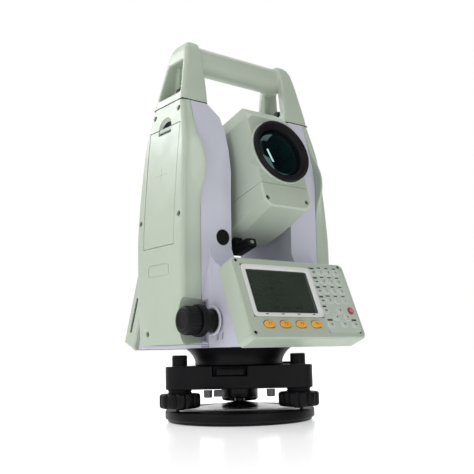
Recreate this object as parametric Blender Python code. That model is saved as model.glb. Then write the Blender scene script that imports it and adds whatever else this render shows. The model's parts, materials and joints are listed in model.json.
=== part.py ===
"""Surveying total station: tribrach, alidade, telescope, two keyboards and their drives.

All sizes are in millimetres and become metres when a mesh is made. +Z is up, X is the trunnion axis
and -Y is the side of the objective and of the front keyboard. The origin is on the vertical axis,
at the underside of the base plate.
"""
import math

import bmesh
import bpy
from mathutils import Matrix, Vector

MM = 0.001
GAP = 0.3                       # clearance between pieces that touch

# Alidade
TRUNNION_Z = 222.5              # height of the trunnion axis
PARTING_X = 69.5                # plane where the side covers meet the frame
INNER_X = 36.0                  # inner faces of the standards
BASE_BOTTOM_Z = 66.5
COVER_BOTTOM_Z = 69.4
SHOULDER_Z = 290.2              # top of the standards, where the handle sits
HANDLE_TOP_Z = 354.6
CORNER_CHAMFER = 2.5
# height, half width, half depth at the corner, half depth at the parting plane
COVER_STATIONS = (
    (COVER_BOTTOM_Z, 86.3, 37.5, 38.8),
    (120.0, 88.2, 38.0, 39.2),
    (165.0, 88.6, 38.2, 39.6),
    (190.0, 87.4, 37.5, 40.0),
    (204.0, 86.5, 37.0, 42.6),
    (213.0, 85.8, 36.6, 46.6),
    (223.0, 85.0, 36.1, 49.0),
    (234.0, 84.1, 35.3, 48.0),
    (245.0, 83.1, 34.3, 43.6),
    (256.0, 82.0, 33.0, 37.0),
    (270.0, 80.4, 29.6, 31.4),
    (SHOULDER_Z, 77.8, 24.0, 25.0),
)
# height, inner face, half depth
STANDARD_STATIONS = (
    (70.0, INNER_X, 38.6),
    (165.0, INNER_X, 39.2),
    (200.0, INNER_X, 39.6),
    (224.0, INNER_X, 40.4),
    (245.0, INNER_X, 37.6),
    (263.0, INNER_X, 32.6),
    (278.0, 38.9, 28.4),
    (SHOULDER_Z, 50.2, 24.6),
)

# Keyboards: a slab whose face leans back by PANEL_TILT
PANEL_WIDTH = 132.0
PANEL_HEIGHT = 74.0
PANEL_THICKNESS = 20.0
PANEL_TILT = math.radians(22.1)
PANEL_CENTRE = Vector((0.0, -88.9, 106.7))
SCREEN_CENTRE = (-18.2, 6.4)
SCREEN_FRAME = (78.0, 48.2)
SCREEN_OPENING = (69.0, 40.0)
KEYPAD_AREA = (21.6, 62.0, -31.6, 31.4)
SOFT_KEY_X = (-43.8, -26.5, -8.9, 8.5)
SOFT_KEY_V = -24.3
SOFT_KEY_SIZE = (5.8, 3.1)
POWER_KEY = (56.4, -10.9)

# Telescope, rotated about the trunnion axis by its elevation
ELEVATION = math.radians(15.5)
TELESCOPE_HALF_WIDTH = 28.0
FRONT_A = 67.0
REAR_A = -50.0
SEAM_B = -32.0
BOSS_A = 70.4                    # front of the round boss behind the objective ring
OBJECTIVE_TIP_A = 75.4
OBJECTIVE_RADIUS = 30.7

# Drives
HORIZONTAL_DRIVE = Vector((-61.3, -46.0, 89.0))
VERTICAL_DRIVE = Vector((-45.5, 39.7, 163.2))
RELIEF = (26.0, 17.0)           # half height and half width of the finger room

# Battery
BATTERY_HALF_DEPTH = 25.1
BATTERY_BOTTOM_Z = 156.4
BATTERY_TOP_Z = 267.4
BATTERY_INNER_X = -61.0
LATCH_HALF_WIDTH = 10.0

# Tribrach
BASE_RADIUS = 69.4
BASE_THICKNESS = 10.6
FOOT_CIRCLE = 61.6
FOOT_ANGLES = tuple(math.radians(a) for a in (171.8, 291.8, 51.8))
BODY_BOTTOM_Z = 30.0
BODY_TOP_Z = 50.2
BODY_CORNER_RADIUS = 13.0
FLANGE_TOP_Z = 66.2
FRONT_ANGLE = math.radians(231.8)

PALETTE = {
    "pale_green": ((0.47, 0.53, 0.44), 0.42, 0.0),
    "lavender": ((0.50, 0.50, 0.60), 0.45, 0.0),
    "black": ((0.012, 0.012, 0.014), 0.38, 0.0),
    "black_metal": ((0.015, 0.015, 0.017), 0.32, 0.6),
    "rubber": ((0.02, 0.02, 0.022), 0.7, 0.0),
    "white": ((0.75, 0.77, 0.76), 0.4, 0.0),
    "yellow": ((0.80, 0.42, 0.06), 0.45, 0.0),
    "red": ((0.45, 0.05, 0.08), 0.45, 0.0),
    "screen": ((0.03, 0.045, 0.035), 0.12, 0.0),
    "steel": ((0.55, 0.55, 0.56), 0.3, 1.0),
    "brass": ((0.62, 0.45, 0.18), 0.35, 1.0),
    "lens": ((0.02, 0.10, 0.10), 0.03, 0.0),
    "glass": ((0.55, 0.65, 0.6), 0.05, 0.0),
    "board": ((0.02, 0.16, 0.07), 0.5, 0.0),
}


def clear_scene():
    for item in list(bpy.data.objects):
        bpy.data.objects.remove(item, do_unlink=True)


def material(name):
    """The named finish, made once."""
    found = bpy.data.materials.get(name)
    if found:
        return found
    colour, roughness, metallic = PALETTE[name]
    made = bpy.data.materials.new(name)
    made.use_nodes = True
    shader = made.node_tree.nodes["Principled BSDF"]
    shader.inputs["Base Color"].default_value = (*colour, 1.0)
    shader.inputs["Roughness"].default_value = roughness
    shader.inputs["Metallic"].default_value = metallic
    made.diffuse_color = (*colour, 1.0)
    return made


def add_object(name, bm, finish, origin=(0.0, 0.0, 0.0)):
    """Turn a bmesh in millimetres into an object in metres whose origin is at the given point."""
    origin = Vector(origin)
    for vert in bm.verts:
        vert.co = (vert.co - origin) * MM
    bmesh.ops.remove_doubles(bm, verts=bm.verts, dist=1e-6)
    bmesh.ops.recalc_face_normals(bm, faces=bm.faces)
    mesh = bpy.data.meshes.new(name)
    bm.to_mesh(mesh)
    bm.free()
    mesh.materials.append(material(finish))
    mesh.shade_smooth()
    mesh.set_sharp_from_angle(angle=math.radians(32))
    made = bpy.data.objects.new(name, mesh)
    made.location = origin * MM
    bpy.context.scene.collection.objects.link(made)
    return made


def tool(bm):
    """An object that only cuts or joins others."""
    made = add_object("tool", bm, "steel")
    made.hide_render = True
    made.display_type = "WIRE"
    return made


def combine(target, other, operation):
    step = target.modifiers.new(operation.lower(), "BOOLEAN")
    step.operation = operation
    step.object = other
    return target


def cut(target, *cutters):
    for cutter in cutters:
        combine(target, cutter, "DIFFERENCE")
    return target


def join(target, *others):
    for other in others:
        combine(target, other, "UNION")
    return target


def loft(sections):
    """A closed solid through loops that have the same number of points."""
    bm = bmesh.new()
    rings = [[bm.verts.new(point) for point in section] for section in sections]
    count = len(rings[0])
    for low, high in zip(rings, rings[1:]):
        for i in range(count):
            j = (i + 1) % count
            bm.faces.new((low[i], low[j], high[j], high[i]))
    bm.faces.new(reversed(rings[0]))
    bm.faces.new(rings[-1])
    return bm


def prism(outline, start, end):
    """A solid from a flat outline, given as points, moved from one offset to another."""
    start, end = Vector(start), Vector(end)
    return loft([[Vector(p) + start for p in outline], [Vector(p) + end for p in outline]])


def box(low, high):
    outline = [(low[0], low[1], 0), (high[0], low[1], 0), (high[0], high[1], 0), (low[0], high[1], 0)]
    return prism(outline, (0, 0, low[2]), (0, 0, high[2]))


def turned(profile, steps=24):
    """Spin a list of (radius, height) points about Z; a closed profile makes a ring."""
    bm = bmesh.new()
    closed = profile[0][0] > 0
    verts = [bm.verts.new((radius, 0, height)) for radius, height in profile]
    pairs = list(zip(verts, verts[1:]))
    if closed:
        pairs.append((verts[-1], verts[0]))
    edges = [bm.edges.new(pair) for pair in pairs]
    bmesh.ops.spin(bm, geom=verts + edges, cent=(0, 0, 0), axis=(0, 0, 1), angle=2 * math.pi,
                   steps=steps, use_merge=False)
    bmesh.ops.remove_doubles(bm, verts=bm.verts, dist=1e-4)
    return bm


def cylinder(radius, low, high, steps=24):
    return turned([(0, low), (radius, low), (radius, high), (0, high)], steps)


def moved(bm, matrix):
    bmesh.ops.transform(bm, matrix=matrix, verts=bm.verts)
    return bm


def aim(origin, direction):
    """The matrix that puts local Z along a direction, at an origin."""
    turn = Vector((0, 0, 1)).rotation_difference(Vector(direction)).to_matrix().to_4x4()
    return Matrix.Translation(Vector(origin)) @ turn


def ellipse(centre, half_x, half_y, count=14):
    angles = [2 * math.pi * i / count for i in range(count)]
    return [(centre[0] + half_x * math.cos(a), centre[1] + half_y * math.sin(a), 0) for a in angles]


def between(stations, height, column):
    """Read one column of a station list at a height, linearly."""
    for low, high in zip(stations, stations[1:]):
        if height <= high[0]:
            share = (height - low[0]) / (high[0] - low[0])
            return low[column] + share * (high[column] - low[column])
    return stations[-1][column]


def rounded_polygon(corners, radius, steps=5):
    """Corner circles of a convex polygon joined by straight sides; corners are the circle centres."""
    points = []
    count = len(corners)
    for i, corner in enumerate(corners):
        before = Vector(corners[i - 1])
        after = Vector(corners[(i + 1) % count])
        here = Vector(corner)
        start = (here - before).normalized()
        end = (after - here).normalized()
        first = math.atan2(-start.x, start.y)
        last = math.atan2(-end.x, end.y)
        while last < first:
            last += 2 * math.pi
        for k in range(steps + 1):
            angle = first + (last - first) * k / steps
            points.append((here.x + radius * math.cos(angle), here.y + radius * math.sin(angle), 0))
    return points


def foot_point(index, radius=FOOT_CIRCLE):
    angle = FOOT_ANGLES[index]
    return Vector((radius * math.cos(angle), radius * math.sin(angle), 0))


# ---------------------------------------------------------------- tribrach

def make_base_plate():
    profile = [(8.0, 0), (BASE_RADIUS - 2.4, 0), (BASE_RADIUS - 0.8, 2.2), (BASE_RADIUS, 3.0),
               (BASE_RADIUS, BASE_THICKNESS - 1.2), (BASE_RADIUS - 1.2, BASE_THICKNESS), (8.0, BASE_THICKNESS)]
    return add_object("base_plate", turned(profile, 48), "black")


def make_spring_plate():
    low = BASE_THICKNESS + GAP
    outline = rounded_polygon([foot_point(i, 56.0) for i in (0, 1, 2)], 9.0)
    plate = add_object("spring_plate", prism(outline, (0, 0, low), (0, 0, low + 1.2)), "steel")
    for i in range(3):
        cut(plate, tool(moved(cylinder(4.5, low - 3, low + 4, 16), Matrix.Translation(foot_point(i)))))
    return plate


def make_centre_post():
    low = BASE_THICKNESS + 1.2 + 2 * GAP
    profile = [(0, low), (17.0, low), (12.0, low + 3.2), (4.6, low + 4.6), (4.6, low + 7.6), (15.0, 20.6),
               (17.2, 22.0), (17.2, BODY_BOTTOM_Z - GAP), (0, BODY_BOTTOM_Z - GAP)]
    return add_object("centre_post", turned(profile, 20), "black_metal")


def make_tribrach_body():
    outline = rounded_polygon([foot_point(i) for i in (0, 1, 2)], BODY_CORNER_RADIUS)
    body = add_object("tribrach_body", prism(outline, (0, 0, BODY_BOTTOM_Z), (0, 0, BODY_TOP_Z)), "black")
    for i in range(3):
        cut(body, tool(moved(cylinder(4.4, 20, 46, 16), Matrix.Translation(foot_point(i)))))
    cut(body, tool(cylinder(18.0, 33.0, 60.0)))
    face = foot_distance() + BODY_CORNER_RADIUS
    notch = box((face - 9.0, -23.5, 41.5), (face + 5.0, 7.5, 60.0))
    return cut(body, tool(moved(notch, Matrix.Rotation(FRONT_ANGLE, 4, "Z"))))


def foot_distance():
    """Distance from the axis to the line through two foot screws."""
    return FOOT_CIRCLE * math.cos(math.radians(60))


def make_clamp_lever():
    """Lever that locks the centring flange, in the notch of the body's front edge."""
    face = foot_distance() + BODY_CORNER_RADIUS
    pivot = Matrix.Rotation(FRONT_ANGLE, 4, "Z") @ Vector((face - 4.4, 3.5, 0))
    outline = rounded_polygon([(0, 0, 0), (-1.6, -21.5, 0), (1.6, -21.5, 0)], 2.4, 3)
    lever = prism(outline, (0, 0, 42.2), (0, 0, 47.4))
    turn = Matrix.Translation(pivot) @ Matrix.Rotation(FRONT_ANGLE, 4, "Z")
    return add_object("tribrach_clamp_lever", moved(lever, turn), "black", (pivot.x, pivot.y, 44.8))


def lobed_ring(lobes, points, radius, swing, height):
    """One level of a knob whose rim waves in and out."""
    ring = []
    for k in range(points):
        angle = 2 * math.pi * k / points
        reach = radius + swing * math.cos(lobes * angle)
        ring.append((reach * math.cos(angle), reach * math.sin(angle), height))
    return ring


def make_foot_screws():
    levels = ((13.6, 16.4), (15.0, 17.6), (25.2, 17.6), (26.5, 16.4))
    for i, letter in enumerate("abc"):
        spot = foot_point(i)
        place = Matrix.Translation(spot)
        knob = loft([lobed_ring(9, 36, radius, 0.7 * radius / 17.6, height) for height, radius in levels])
        screw = add_object(f"foot_screw_{letter}", moved(knob, place), "black", spot)
        stem = turned([(0, 11.2), (4.0, 11.2), (4.0, 26.0), (10.6, 26.0), (10.6, 29.6), (4.0, 29.6), (4.0, 45.0),
                       (0, 45.0)], 16)
        join(screw, tool(moved(stem, place)))
        cap = turned([(0, 50.5), (6.8, 50.5), (6.8, 59.2), (6.0, 60.2), (0, 60.2)], 20)
        add_object(f"foot_screw_cap_{letter}", moved(cap, place), "black", spot)


def make_circular_level():
    """Cup and vial on the flat of the body to the right of the clamp lever."""
    angle = FRONT_ANGLE + math.radians(120)
    radius = 12.5
    reach = foot_distance() + BODY_CORNER_RADIUS + radius + GAP
    spot = Vector((reach * math.cos(angle), reach * math.sin(angle), 0))
    profile = [(0, 41.0), (radius - 2, 41.0), (radius, 43.0), (radius, 52.0), (10.0, 52.0), (10.0, 46.0), (0, 46.0)]
    cup = turned(profile, 24)
    add_object("circular_level_housing", moved(cup, Matrix.Translation(spot)), "black_metal", spot)
    vial = turned([(0, 46.3), (9.7, 46.3), (9.7, 51.2), (0, 52.4)], 24)
    add_object("circular_level_vial", moved(vial, Matrix.Translation(spot)), "glass", spot)


def make_centring_flange():
    profile = [(0, 33.3), (17.7, 33.3), (17.7, 50.6), (41.4, 50.6), (41.2, 53.5), (42.2, 57.5), (44.8, 61.3),
               (47.8, 64.2), (49.0, 65.4), (49.0, FLANGE_TOP_Z), (0, FLANGE_TOP_Z)]
    return add_object("centring_flange", turned(profile, 36), "black")


def make_vertical_axis():
    low = FLANGE_TOP_Z + GAP
    shaft = [(0, low), (20.0, low), (20.0, low + 3), (15.0, low + 3), (15.0, 73.0), (12.0, 73.0), (12.0, 109.0),
             (11.0, 110.0), (0, 110.0)]
    add_object("vertical_axis_shaft", turned(shaft, 24), "steel")
    circle = [(12.3, 73.3), (38.0, 73.3), (38.0, 75.5), (12.3, 75.5)]
    add_object("horizontal_circle", turned(circle, 32), "glass")


# ---------------------------------------------------------------- alidade frame and covers

def standard(side):
    sections = []
    for height, inner, depth in STANDARD_STATIONS:
        outer = PARTING_X - GAP
        sections.append([(side * inner, -depth, height), (side * outer, -depth, height),
                         (side * outer, depth, height), (side * inner, depth, height)])
    return loft(sections)


def panel_axes():
    """Up along the keyboard's face, and out of it."""
    up = Vector((0, math.sin(PANEL_TILT), math.cos(PANEL_TILT)))
    out = Vector((0, -math.cos(PANEL_TILT), math.sin(PANEL_TILT)))
    return up, out


def flare(side):
    """The part of the frame that reaches forward (side -1) or back (side 1) to carry a keyboard."""
    up, out = panel_axes()
    back = PANEL_CENTRE - out * (PANEL_THICKNESS + GAP)
    top = back + up * (PANEL_HEIGHT / 2 - 0.6)
    bottom = back + up * ((BASE_BOTTOM_Z - back.z) / up.z)
    outline = [(0, 30.0, BASE_BOTTOM_Z), (0, -bottom.y, BASE_BOTTOM_Z), (0, -top.y, top.z), (0, 54.0, 135.6),
               (0, 48.0, 139.0), (0, 43.0, 145.0), (0, 39.0, 153.5), (0, 30.0, 153.5)]
    outline = [(x, side * y, z) for x, y, z in outline]
    return prism(outline, (-61.0, 0, 0), (61.0, 0, 0))


def make_alidade_frame():
    frame = add_object("alidade_frame", box((-69.2, -38.4, BASE_BOTTOM_Z), (69.2, 38.4, 117.8)), "lavender")
    join(frame, tool(standard(-1)), tool(standard(1)), tool(flare(-1)), tool(flare(1)))
    cut(frame, tool(relief()))
    join(frame, tool(box((-84.0, -36.2, BASE_BOTTOM_Z), (84.0, 36.2, COVER_BOTTOM_Z - GAP))))
    gap_outline = [(0, -38, 118), (0, 38, 118), (0, 52, 134.0), (0, 64, 300), (0, -64, 300), (0, -52, 134.0)]
    cut(frame, tool(prism(gap_outline, (-INNER_X, 0, 0), (INNER_X, 0, 0))))
    pocket = [(0, -34, 120), (0, 34, 120), (0, 34, 236), (0, 26, 260), (0, -26, 260), (0, -34, 236)]
    for side in (-1, 1):
        cut(frame, tool(prism(pocket, (side * 38.2, 0, 0), (side * 80.0, 0, 0))))
        cut(frame, tool(moved(cylinder(14.2, 28, 45, 28), aim((0, 0, TRUNNION_Z), (side, 0, 0)))))
        cut(frame, tool(moved(cylinder(3.3, 278, 300, 12), Matrix.Translation((side * 61.0, 0, 0)))))
    cut(frame, tool(turned([(0, 60), (42.0, 60), (42.0, 80), (12.4, 80), (12.4, 112), (0, 112)], 28)))
    cap_hole = cylinder(7.3, 0, 8, 24)
    return cut(frame, tool(moved(cap_hole, aim((VERTICAL_DRIVE.x, -37.2, VERTICAL_DRIVE.z), (0, -1, 0)))))


def relief(grow=0.0):
    """The room for fingers round the horizontal drive, a little larger if asked."""
    outline = ellipse((0, 0), RELIEF[0] + grow, RELIEF[1] + grow, 28)
    return moved(prism(outline, (0, 0, 0), (0, 0, 40)), aim(HORIZONTAL_DRIVE, (-1, 0, 0)))


def cover_section(height, half_width, corner, parting):
    """One level of a cover's outer skin, on the right-hand side."""
    run = half_width - CORNER_CHAMFER - PARTING_X
    rise = parting - corner
    half = [(PARTING_X, parting), (PARTING_X + 0.45 * run, parting - 0.22 * rise),
            (PARTING_X + 0.74 * run, corner + 0.25), (half_width - CORNER_CHAMFER, corner),
            (half_width, corner - CORNER_CHAMFER)]
    front = [(x, -y, height) for x, y in half]
    back = [(x, y, height) for x, y in reversed(half)]
    return front + back


def cover_cavity(side):
    """The hollow behind a side cover."""
    sections = []
    for height in (75.0, 120.0, 190.0, 234.0, 256.0, 286.0):
        half_width = between(COVER_STATIONS, height, 1) - 2.8
        depth = between(COVER_STATIONS, height, 2) - 3.0
        sections.append([(side * 65.0, -depth, height), (side * half_width, -depth + 1.5, height),
                         (side * half_width, depth - 1.5, height), (side * 65.0, depth, height)])
    return tool(loft(sections))


def make_side_cover(name, side):
    sections = [[(side * x, y, z) for x, y, z in cover_section(*station)] for station in COVER_STATIONS]
    cover = add_object(name, loft(sections), "pale_green")
    cavity = cover_cavity(side)
    if side < 0:
        cut(cavity, tool(relief(2.6)))
    cut(cover, cavity)
    if side < 0:
        depth = BATTERY_HALF_DEPTH + 0.5
        cut(cover, tool(relief()))
        cut(cover, tool(box((-95.0, -depth, BATTERY_BOTTOM_Z - 0.5), (-66.0, depth, BATTERY_TOP_Z + 0.7))))
        scoop = moved(cylinder(11.0, 76.4, 90.0, 28), aim((0, 0, BATTERY_TOP_Z + 0.4), (-1, 0, 0)))
        cut(cover, tool(scoop))
    else:
        cut(cover, tool(moved(cylinder(9.3, 60.0, 95.0, 24), aim((0, 0, 96.0), (1, 0, 0)))))
    return cover


# ---------------------------------------------------------------- handle

def handle_leg(side):
    stations = ((SHOULDER_Z + GAP, 48.6, 77.8, 24.0), (301.0, 48.8, 75.8, 23.0), (334.0, 49.4, 68.4, 17.8),
                (346.0, 49.6, 65.8, 14.8), (351.8, 49.8, 63.4, 12.0), (HANDLE_TOP_Z, 50.0, 60.6, 9.6))
    sections = []
    for height, inner, outer, depth in stations:
        sections.append([(side * inner, -depth, height), (side * (outer - 2.0), -depth, height),
                         (side * outer, -depth + 2.0, height), (side * outer, depth - 2.0, height),
                         (side * (outer - 2.0), depth, height), (side * inner, depth, height)])
    return loft(sections)


def make_carry_handle():
    handle = add_object("carry_handle", handle_leg(-1), "pale_green")
    join(handle, tool(handle_leg(1)))
    window = [(0, -18.6, 299.6), (0, 18.6, 299.6), (0, 12.0, 334.0), (0, -12.0, 334.0)]
    for side in (-1, 1):
        cut(handle, tool(prism(window, (side * 40.0, 0, 0), (side * 90.0, 0, 0))))
        cut(handle, tool(moved(cylinder(3.3, 285, 302, 12), Matrix.Translation((side * 61.0, 0, 0)))))
    grip = [(0, 12.4 * math.cos(a), HANDLE_TOP_Z - 13.6 + 13.6 * math.sin(a))
            for a in [2 * math.pi * (i + 0.5) / 16 for i in range(16)]]
    return join(handle, tool(prism(grip, (-55.0, 0, 0), (55.0, 0, 0))))


def make_handle_screws():
    for name, side in (("handle_screw_left", -1), ("handle_screw_right", 1)):
        profile = [(0, 281.0), (3.0, 281.0), (3.0, 300.0), (6.0, 300.0), (6.4, 301.2), (6.4, 307.8), (5.2, 309.0),
                   (0, 309.0)]
        screw = moved(turned(profile, 20), Matrix.Translation((side * 61.0, 0, 0)))
        add_object(name, screw, "black_metal", (side * 61.0, 0, 300.0))


# ---------------------------------------------------------------- battery

def make_battery():
    outer = [(-between(COVER_STATIONS, height, 1), 0, height)
             for height in (BATTERY_BOTTOM_Z, 165.0, 190.0, 213.0, 234.0, 256.0, BATTERY_TOP_Z)]
    inner = [(-70.0, 0, 264.8), (-70.0, 0, 250.0), (BATTERY_INNER_X, 0, 241.0),
             (BATTERY_INNER_X, 0, BATTERY_BOTTOM_Z)]
    shape = prism(outer + inner, (0, -BATTERY_HALF_DEPTH, 0), (0, BATTERY_HALF_DEPTH, 0))
    pivot = (outer[0][0] + 0.5, 0, BATTERY_BOTTOM_Z + 0.6)
    battery = add_object("battery_pack", shape, "pale_green", pivot)
    width = LATCH_HALF_WIDTH + 0.4
    cut(battery, tool(box((-95.0, -width, 261.9), (-71.0, width, 275.0))))
    outline = [(-80.4, 0, 264.6), (-72.0, 0, 264.6), (-72.0, 0, 266.5), (-80.4, 0, 267.9)]
    latch = prism(outline, (0, -LATCH_HALF_WIDTH, 0), (0, LATCH_HALF_WIDTH, 0))
    add_object("battery_latch", latch, "pale_green", (-76.0, 0, 266.2))


# ---------------------------------------------------------------- drives

def make_drive(prefix, origin, direction):
    """A clamp ring on a sleeve, with the tangent screw's knob on the same axis outside it."""
    matrix = aim(origin, direction)
    ring = [(4.3, GAP), (9.6, GAP), (9.6, 12.6), (13.0, 13.4), (13.8, 14.2), (13.8, 19.0), (13.0, 19.8), (4.3, 19.8)]
    add_object(f"{prefix}_clamp_ring", moved(turned(ring, 24), matrix), "black", origin)
    knob = [(0, 1.0), (3.9, 1.0), (3.9, 20.2), (10.6, 20.2), (12.3, 21.2), (12.3, 29.8), (11.2, 32.4), (9.6, 32.9),
            (0, 32.9)]
    add_object(f"{prefix}_tangent_knob", moved(turned(knob, 24), matrix), "black", origin)


def make_plunger_cap():
    spot = (VERTICAL_DRIVE.x, -37.4, VERTICAL_DRIVE.z)
    cap = turned([(0, 0.1), (7.0, 0.1), (7.0, 2.0), (6.4, 2.4), (0, 2.4)], 24)
    add_object("vertical_plunger_cap", moved(cap, aim(spot, (0, -1, 0))), "black", spot)


# ---------------------------------------------------------------- level, data port, electronics, bearings

def make_plate_level():
    holder = add_object("plate_level_holder", box((-30.0, -33.0, 118.1), (30.0, -19.0, 127.4)), "black_metal")
    groove = moved(cylinder(5.9, -40, 40, 20), aim((0, -26.0, 127.6), (1, 0, 0)))
    cut(holder, tool(groove))
    tube = turned([(0, -26), (3.6, -26), (5.5, -24), (5.5, 24), (3.6, 26), (0, 26)], 20)
    add_object("plate_level_vial", moved(tube, aim((0, -26.0, 127.6), (1, 0, 0))), "glass", (0, -26.0, 127.6))


def make_data_port():
    matrix = aim((0, 0, 96.0), (1, 0, 0))
    socket = [(0, 70.2), (9.0, 70.2), (9.0, 86.4), (7.0, 86.4), (7.0, 76.0), (0, 76.0)]
    add_object("data_socket", moved(turned(socket, 24), matrix), "steel")
    hinge = (88.7, 0, 107.6)
    lid = [(0, 88.1), (10.5, 88.1), (10.5, 89.3), (9.3, 90.3), (0, 90.3)]
    cap = add_object("data_socket_cap", moved(turned(lid, 24), matrix), "rubber", hinge)
    join(cap, tool(box((88.1, -3.0, 103.0), (89.5, 3.0, 108.4))))


def make_electronics():
    add_object("main_circuit_board", box((55.0, -28.0, 126.0), (56.6, 28.0, 232.0)), "board")


def make_bearings():
    for name, side in (("trunnion_bearing_left", -1), ("trunnion_bearing_right", 1)):
        ring = [(10.3, 34.2), (13.9, 34.2), (13.9, 38.5), (16.5, 38.5), (16.5, 41.0), (10.3, 41.0)]
        add_object(name, moved(turned(ring, 20), aim((0, 0, TRUNNION_Z), (side, 0, 0))), "brass",
                   (side * 36.0, 0, TRUNNION_Z))


# ---------------------------------------------------------------- keyboards

def panel_matrix(turn):
    """From the keyboard's own axes (across, up the face, out of it) to the instrument's."""
    up, out = panel_axes()
    across = Vector((1, 0, 0))
    frame = Matrix((across, up, out)).transposed().to_4x4()
    return Matrix.Rotation(turn, 4, "Z") @ Matrix.Translation(PANEL_CENTRE) @ frame


def panel_outline(inset):
    half_w, half_h = PANEL_WIDTH / 2 - inset, PANEL_HEIGHT / 2 - inset
    corner = 3.0
    return [(-half_w + corner, -half_h), (half_w - corner, -half_h), (half_w, -half_h + corner),
            (half_w, half_h - corner), (half_w - corner, half_h), (-half_w + corner, half_h),
            (-half_w, half_h - corner), (-half_w, -half_h + corner)]


def key_spots():
    """Centre and half size of every key of the keypad mat."""
    spots = [((34.4 + 9.6 * column, 27.3 - 9.4 * row), 3.3, 2.4) for row in range(4) for column in range(3)]
    spots += [((25.2, 26.6 - 9.4 * row), 2.6, 2.2) for row in range(5)]
    cross = (42.9, -17.2)
    spots += [((cross[0] + dx, cross[1] + dy), 3.0, 2.5) for dx, dy in ((0, 6.6), (-6.6, 0), (6.6, 0), (0, -6.6))]
    spots += [((26.6, -24.3), 3.2, 2.6), ((56.8, -24.3), 3.2, 2.6)]
    return spots


def make_keyboard(prefix, turn, separate_keys):
    matrix = panel_matrix(turn)
    levels = ((-PANEL_THICKNESS, 1.2), (-PANEL_THICKNESS + 1.5, 0.0), (-1.2, 0.0), (0.0, 1.2))
    shell = loft([[(x, y, n) for x, y in panel_outline(inset)] for n, inset in levels])
    housing = add_object(f"{prefix}_display_housing", moved(shell, matrix), "pale_green")
    cx, cy = SCREEN_CENTRE
    frame_w, frame_h = SCREEN_FRAME[0] / 2, SCREEN_FRAME[1] / 2
    seat = box((cx - frame_w - GAP, cy - frame_h - GAP, -2.6), (cx + frame_w + GAP, cy + frame_h + GAP, 5.0))
    cut(housing, tool(moved(seat, matrix)))
    x0, x1, y0, y1 = KEYPAD_AREA
    cut(housing, tool(moved(box((x0 - GAP, y0 - GAP, -1.6), (x1 + GAP, y1 + GAP, 5.0)), matrix)))

    open_w, open_h = SCREEN_OPENING[0] / 2, SCREEN_OPENING[1] / 2
    rim = box((cx - frame_w, cy - frame_h, -1.2), (cx + frame_w, cy + frame_h, 0.5))
    rim = add_object(f"{prefix}_screen_frame", moved(rim, matrix), "white")
    cut(rim, tool(moved(box((cx - open_w, cy - open_h, -5), (cx + open_w, cy + open_h, 5)), matrix)))
    glass = box((cx - frame_w + 0.6, cy - frame_h + 0.6, -2.3), (cx + frame_w - 0.6, cy + frame_h - 0.6, -1.5))
    add_object(f"{prefix}_screen", moved(glass, matrix), "screen")

    mat = add_object(f"{prefix}_keypad", moved(box((x0, y0, -1.3), (x1, y1, -0.1)), matrix), "pale_green")
    for centre, half_x, half_y in key_spots():
        join(mat, tool(moved(prism(ellipse(centre, half_x, half_y, 8), (0, 0, -0.9), (0, 0, 1.0)), matrix)))

    soft_keys = [((x, SOFT_KEY_V), *SOFT_KEY_SIZE) for x in SOFT_KEY_X]
    if separate_keys:
        cut(mat, tool(moved(prism(ellipse(POWER_KEY, 3.5, 3.5, 16), (0, 0, -3), (0, 0, 3)), matrix)))
        named = [(f"{prefix}_soft_key_{i + 1}", key, "yellow") for i, key in enumerate(soft_keys)]
        named.append((f"{prefix}_power_key", (POWER_KEY, 3.0, 3.0), "red"))
        for name, (centre, half_x, half_y), finish in named:
            hole = prism(ellipse(centre, half_x + 0.35, half_y + 0.35), (0, 0, -4.4), (0, 0, 3))
            cut(housing, tool(moved(hole, matrix)))
            rings = [[(x, y, n) for x, y, _ in ellipse(centre, half_x - inset, half_y - inset)]
                     for n, inset in ((-2.6, 0.0), (0.9, 0.0), (1.5, 0.8))]
            add_object(name, moved(loft(rings), matrix), finish, matrix @ Vector((*centre, 0)))
    else:
        join(mat, tool(moved(prism(ellipse(POWER_KEY, 3.0, 3.0, 12), (0, 0, -0.9), (0, 0, 1.2)), matrix)))


# ---------------------------------------------------------------- telescope

def telescope_matrix():
    """From the telescope's own axes (across, up, along the sight line) to the instrument's."""
    along = Vector((0, -math.cos(ELEVATION), math.sin(ELEVATION)))
    up = Vector((0, math.sin(ELEVATION), math.cos(ELEVATION)))
    frame = Matrix((Vector((1, 0, 0)), up, along)).transposed().to_4x4()
    return Matrix.Translation((0, 0, TRUNNION_Z)) @ frame


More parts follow.
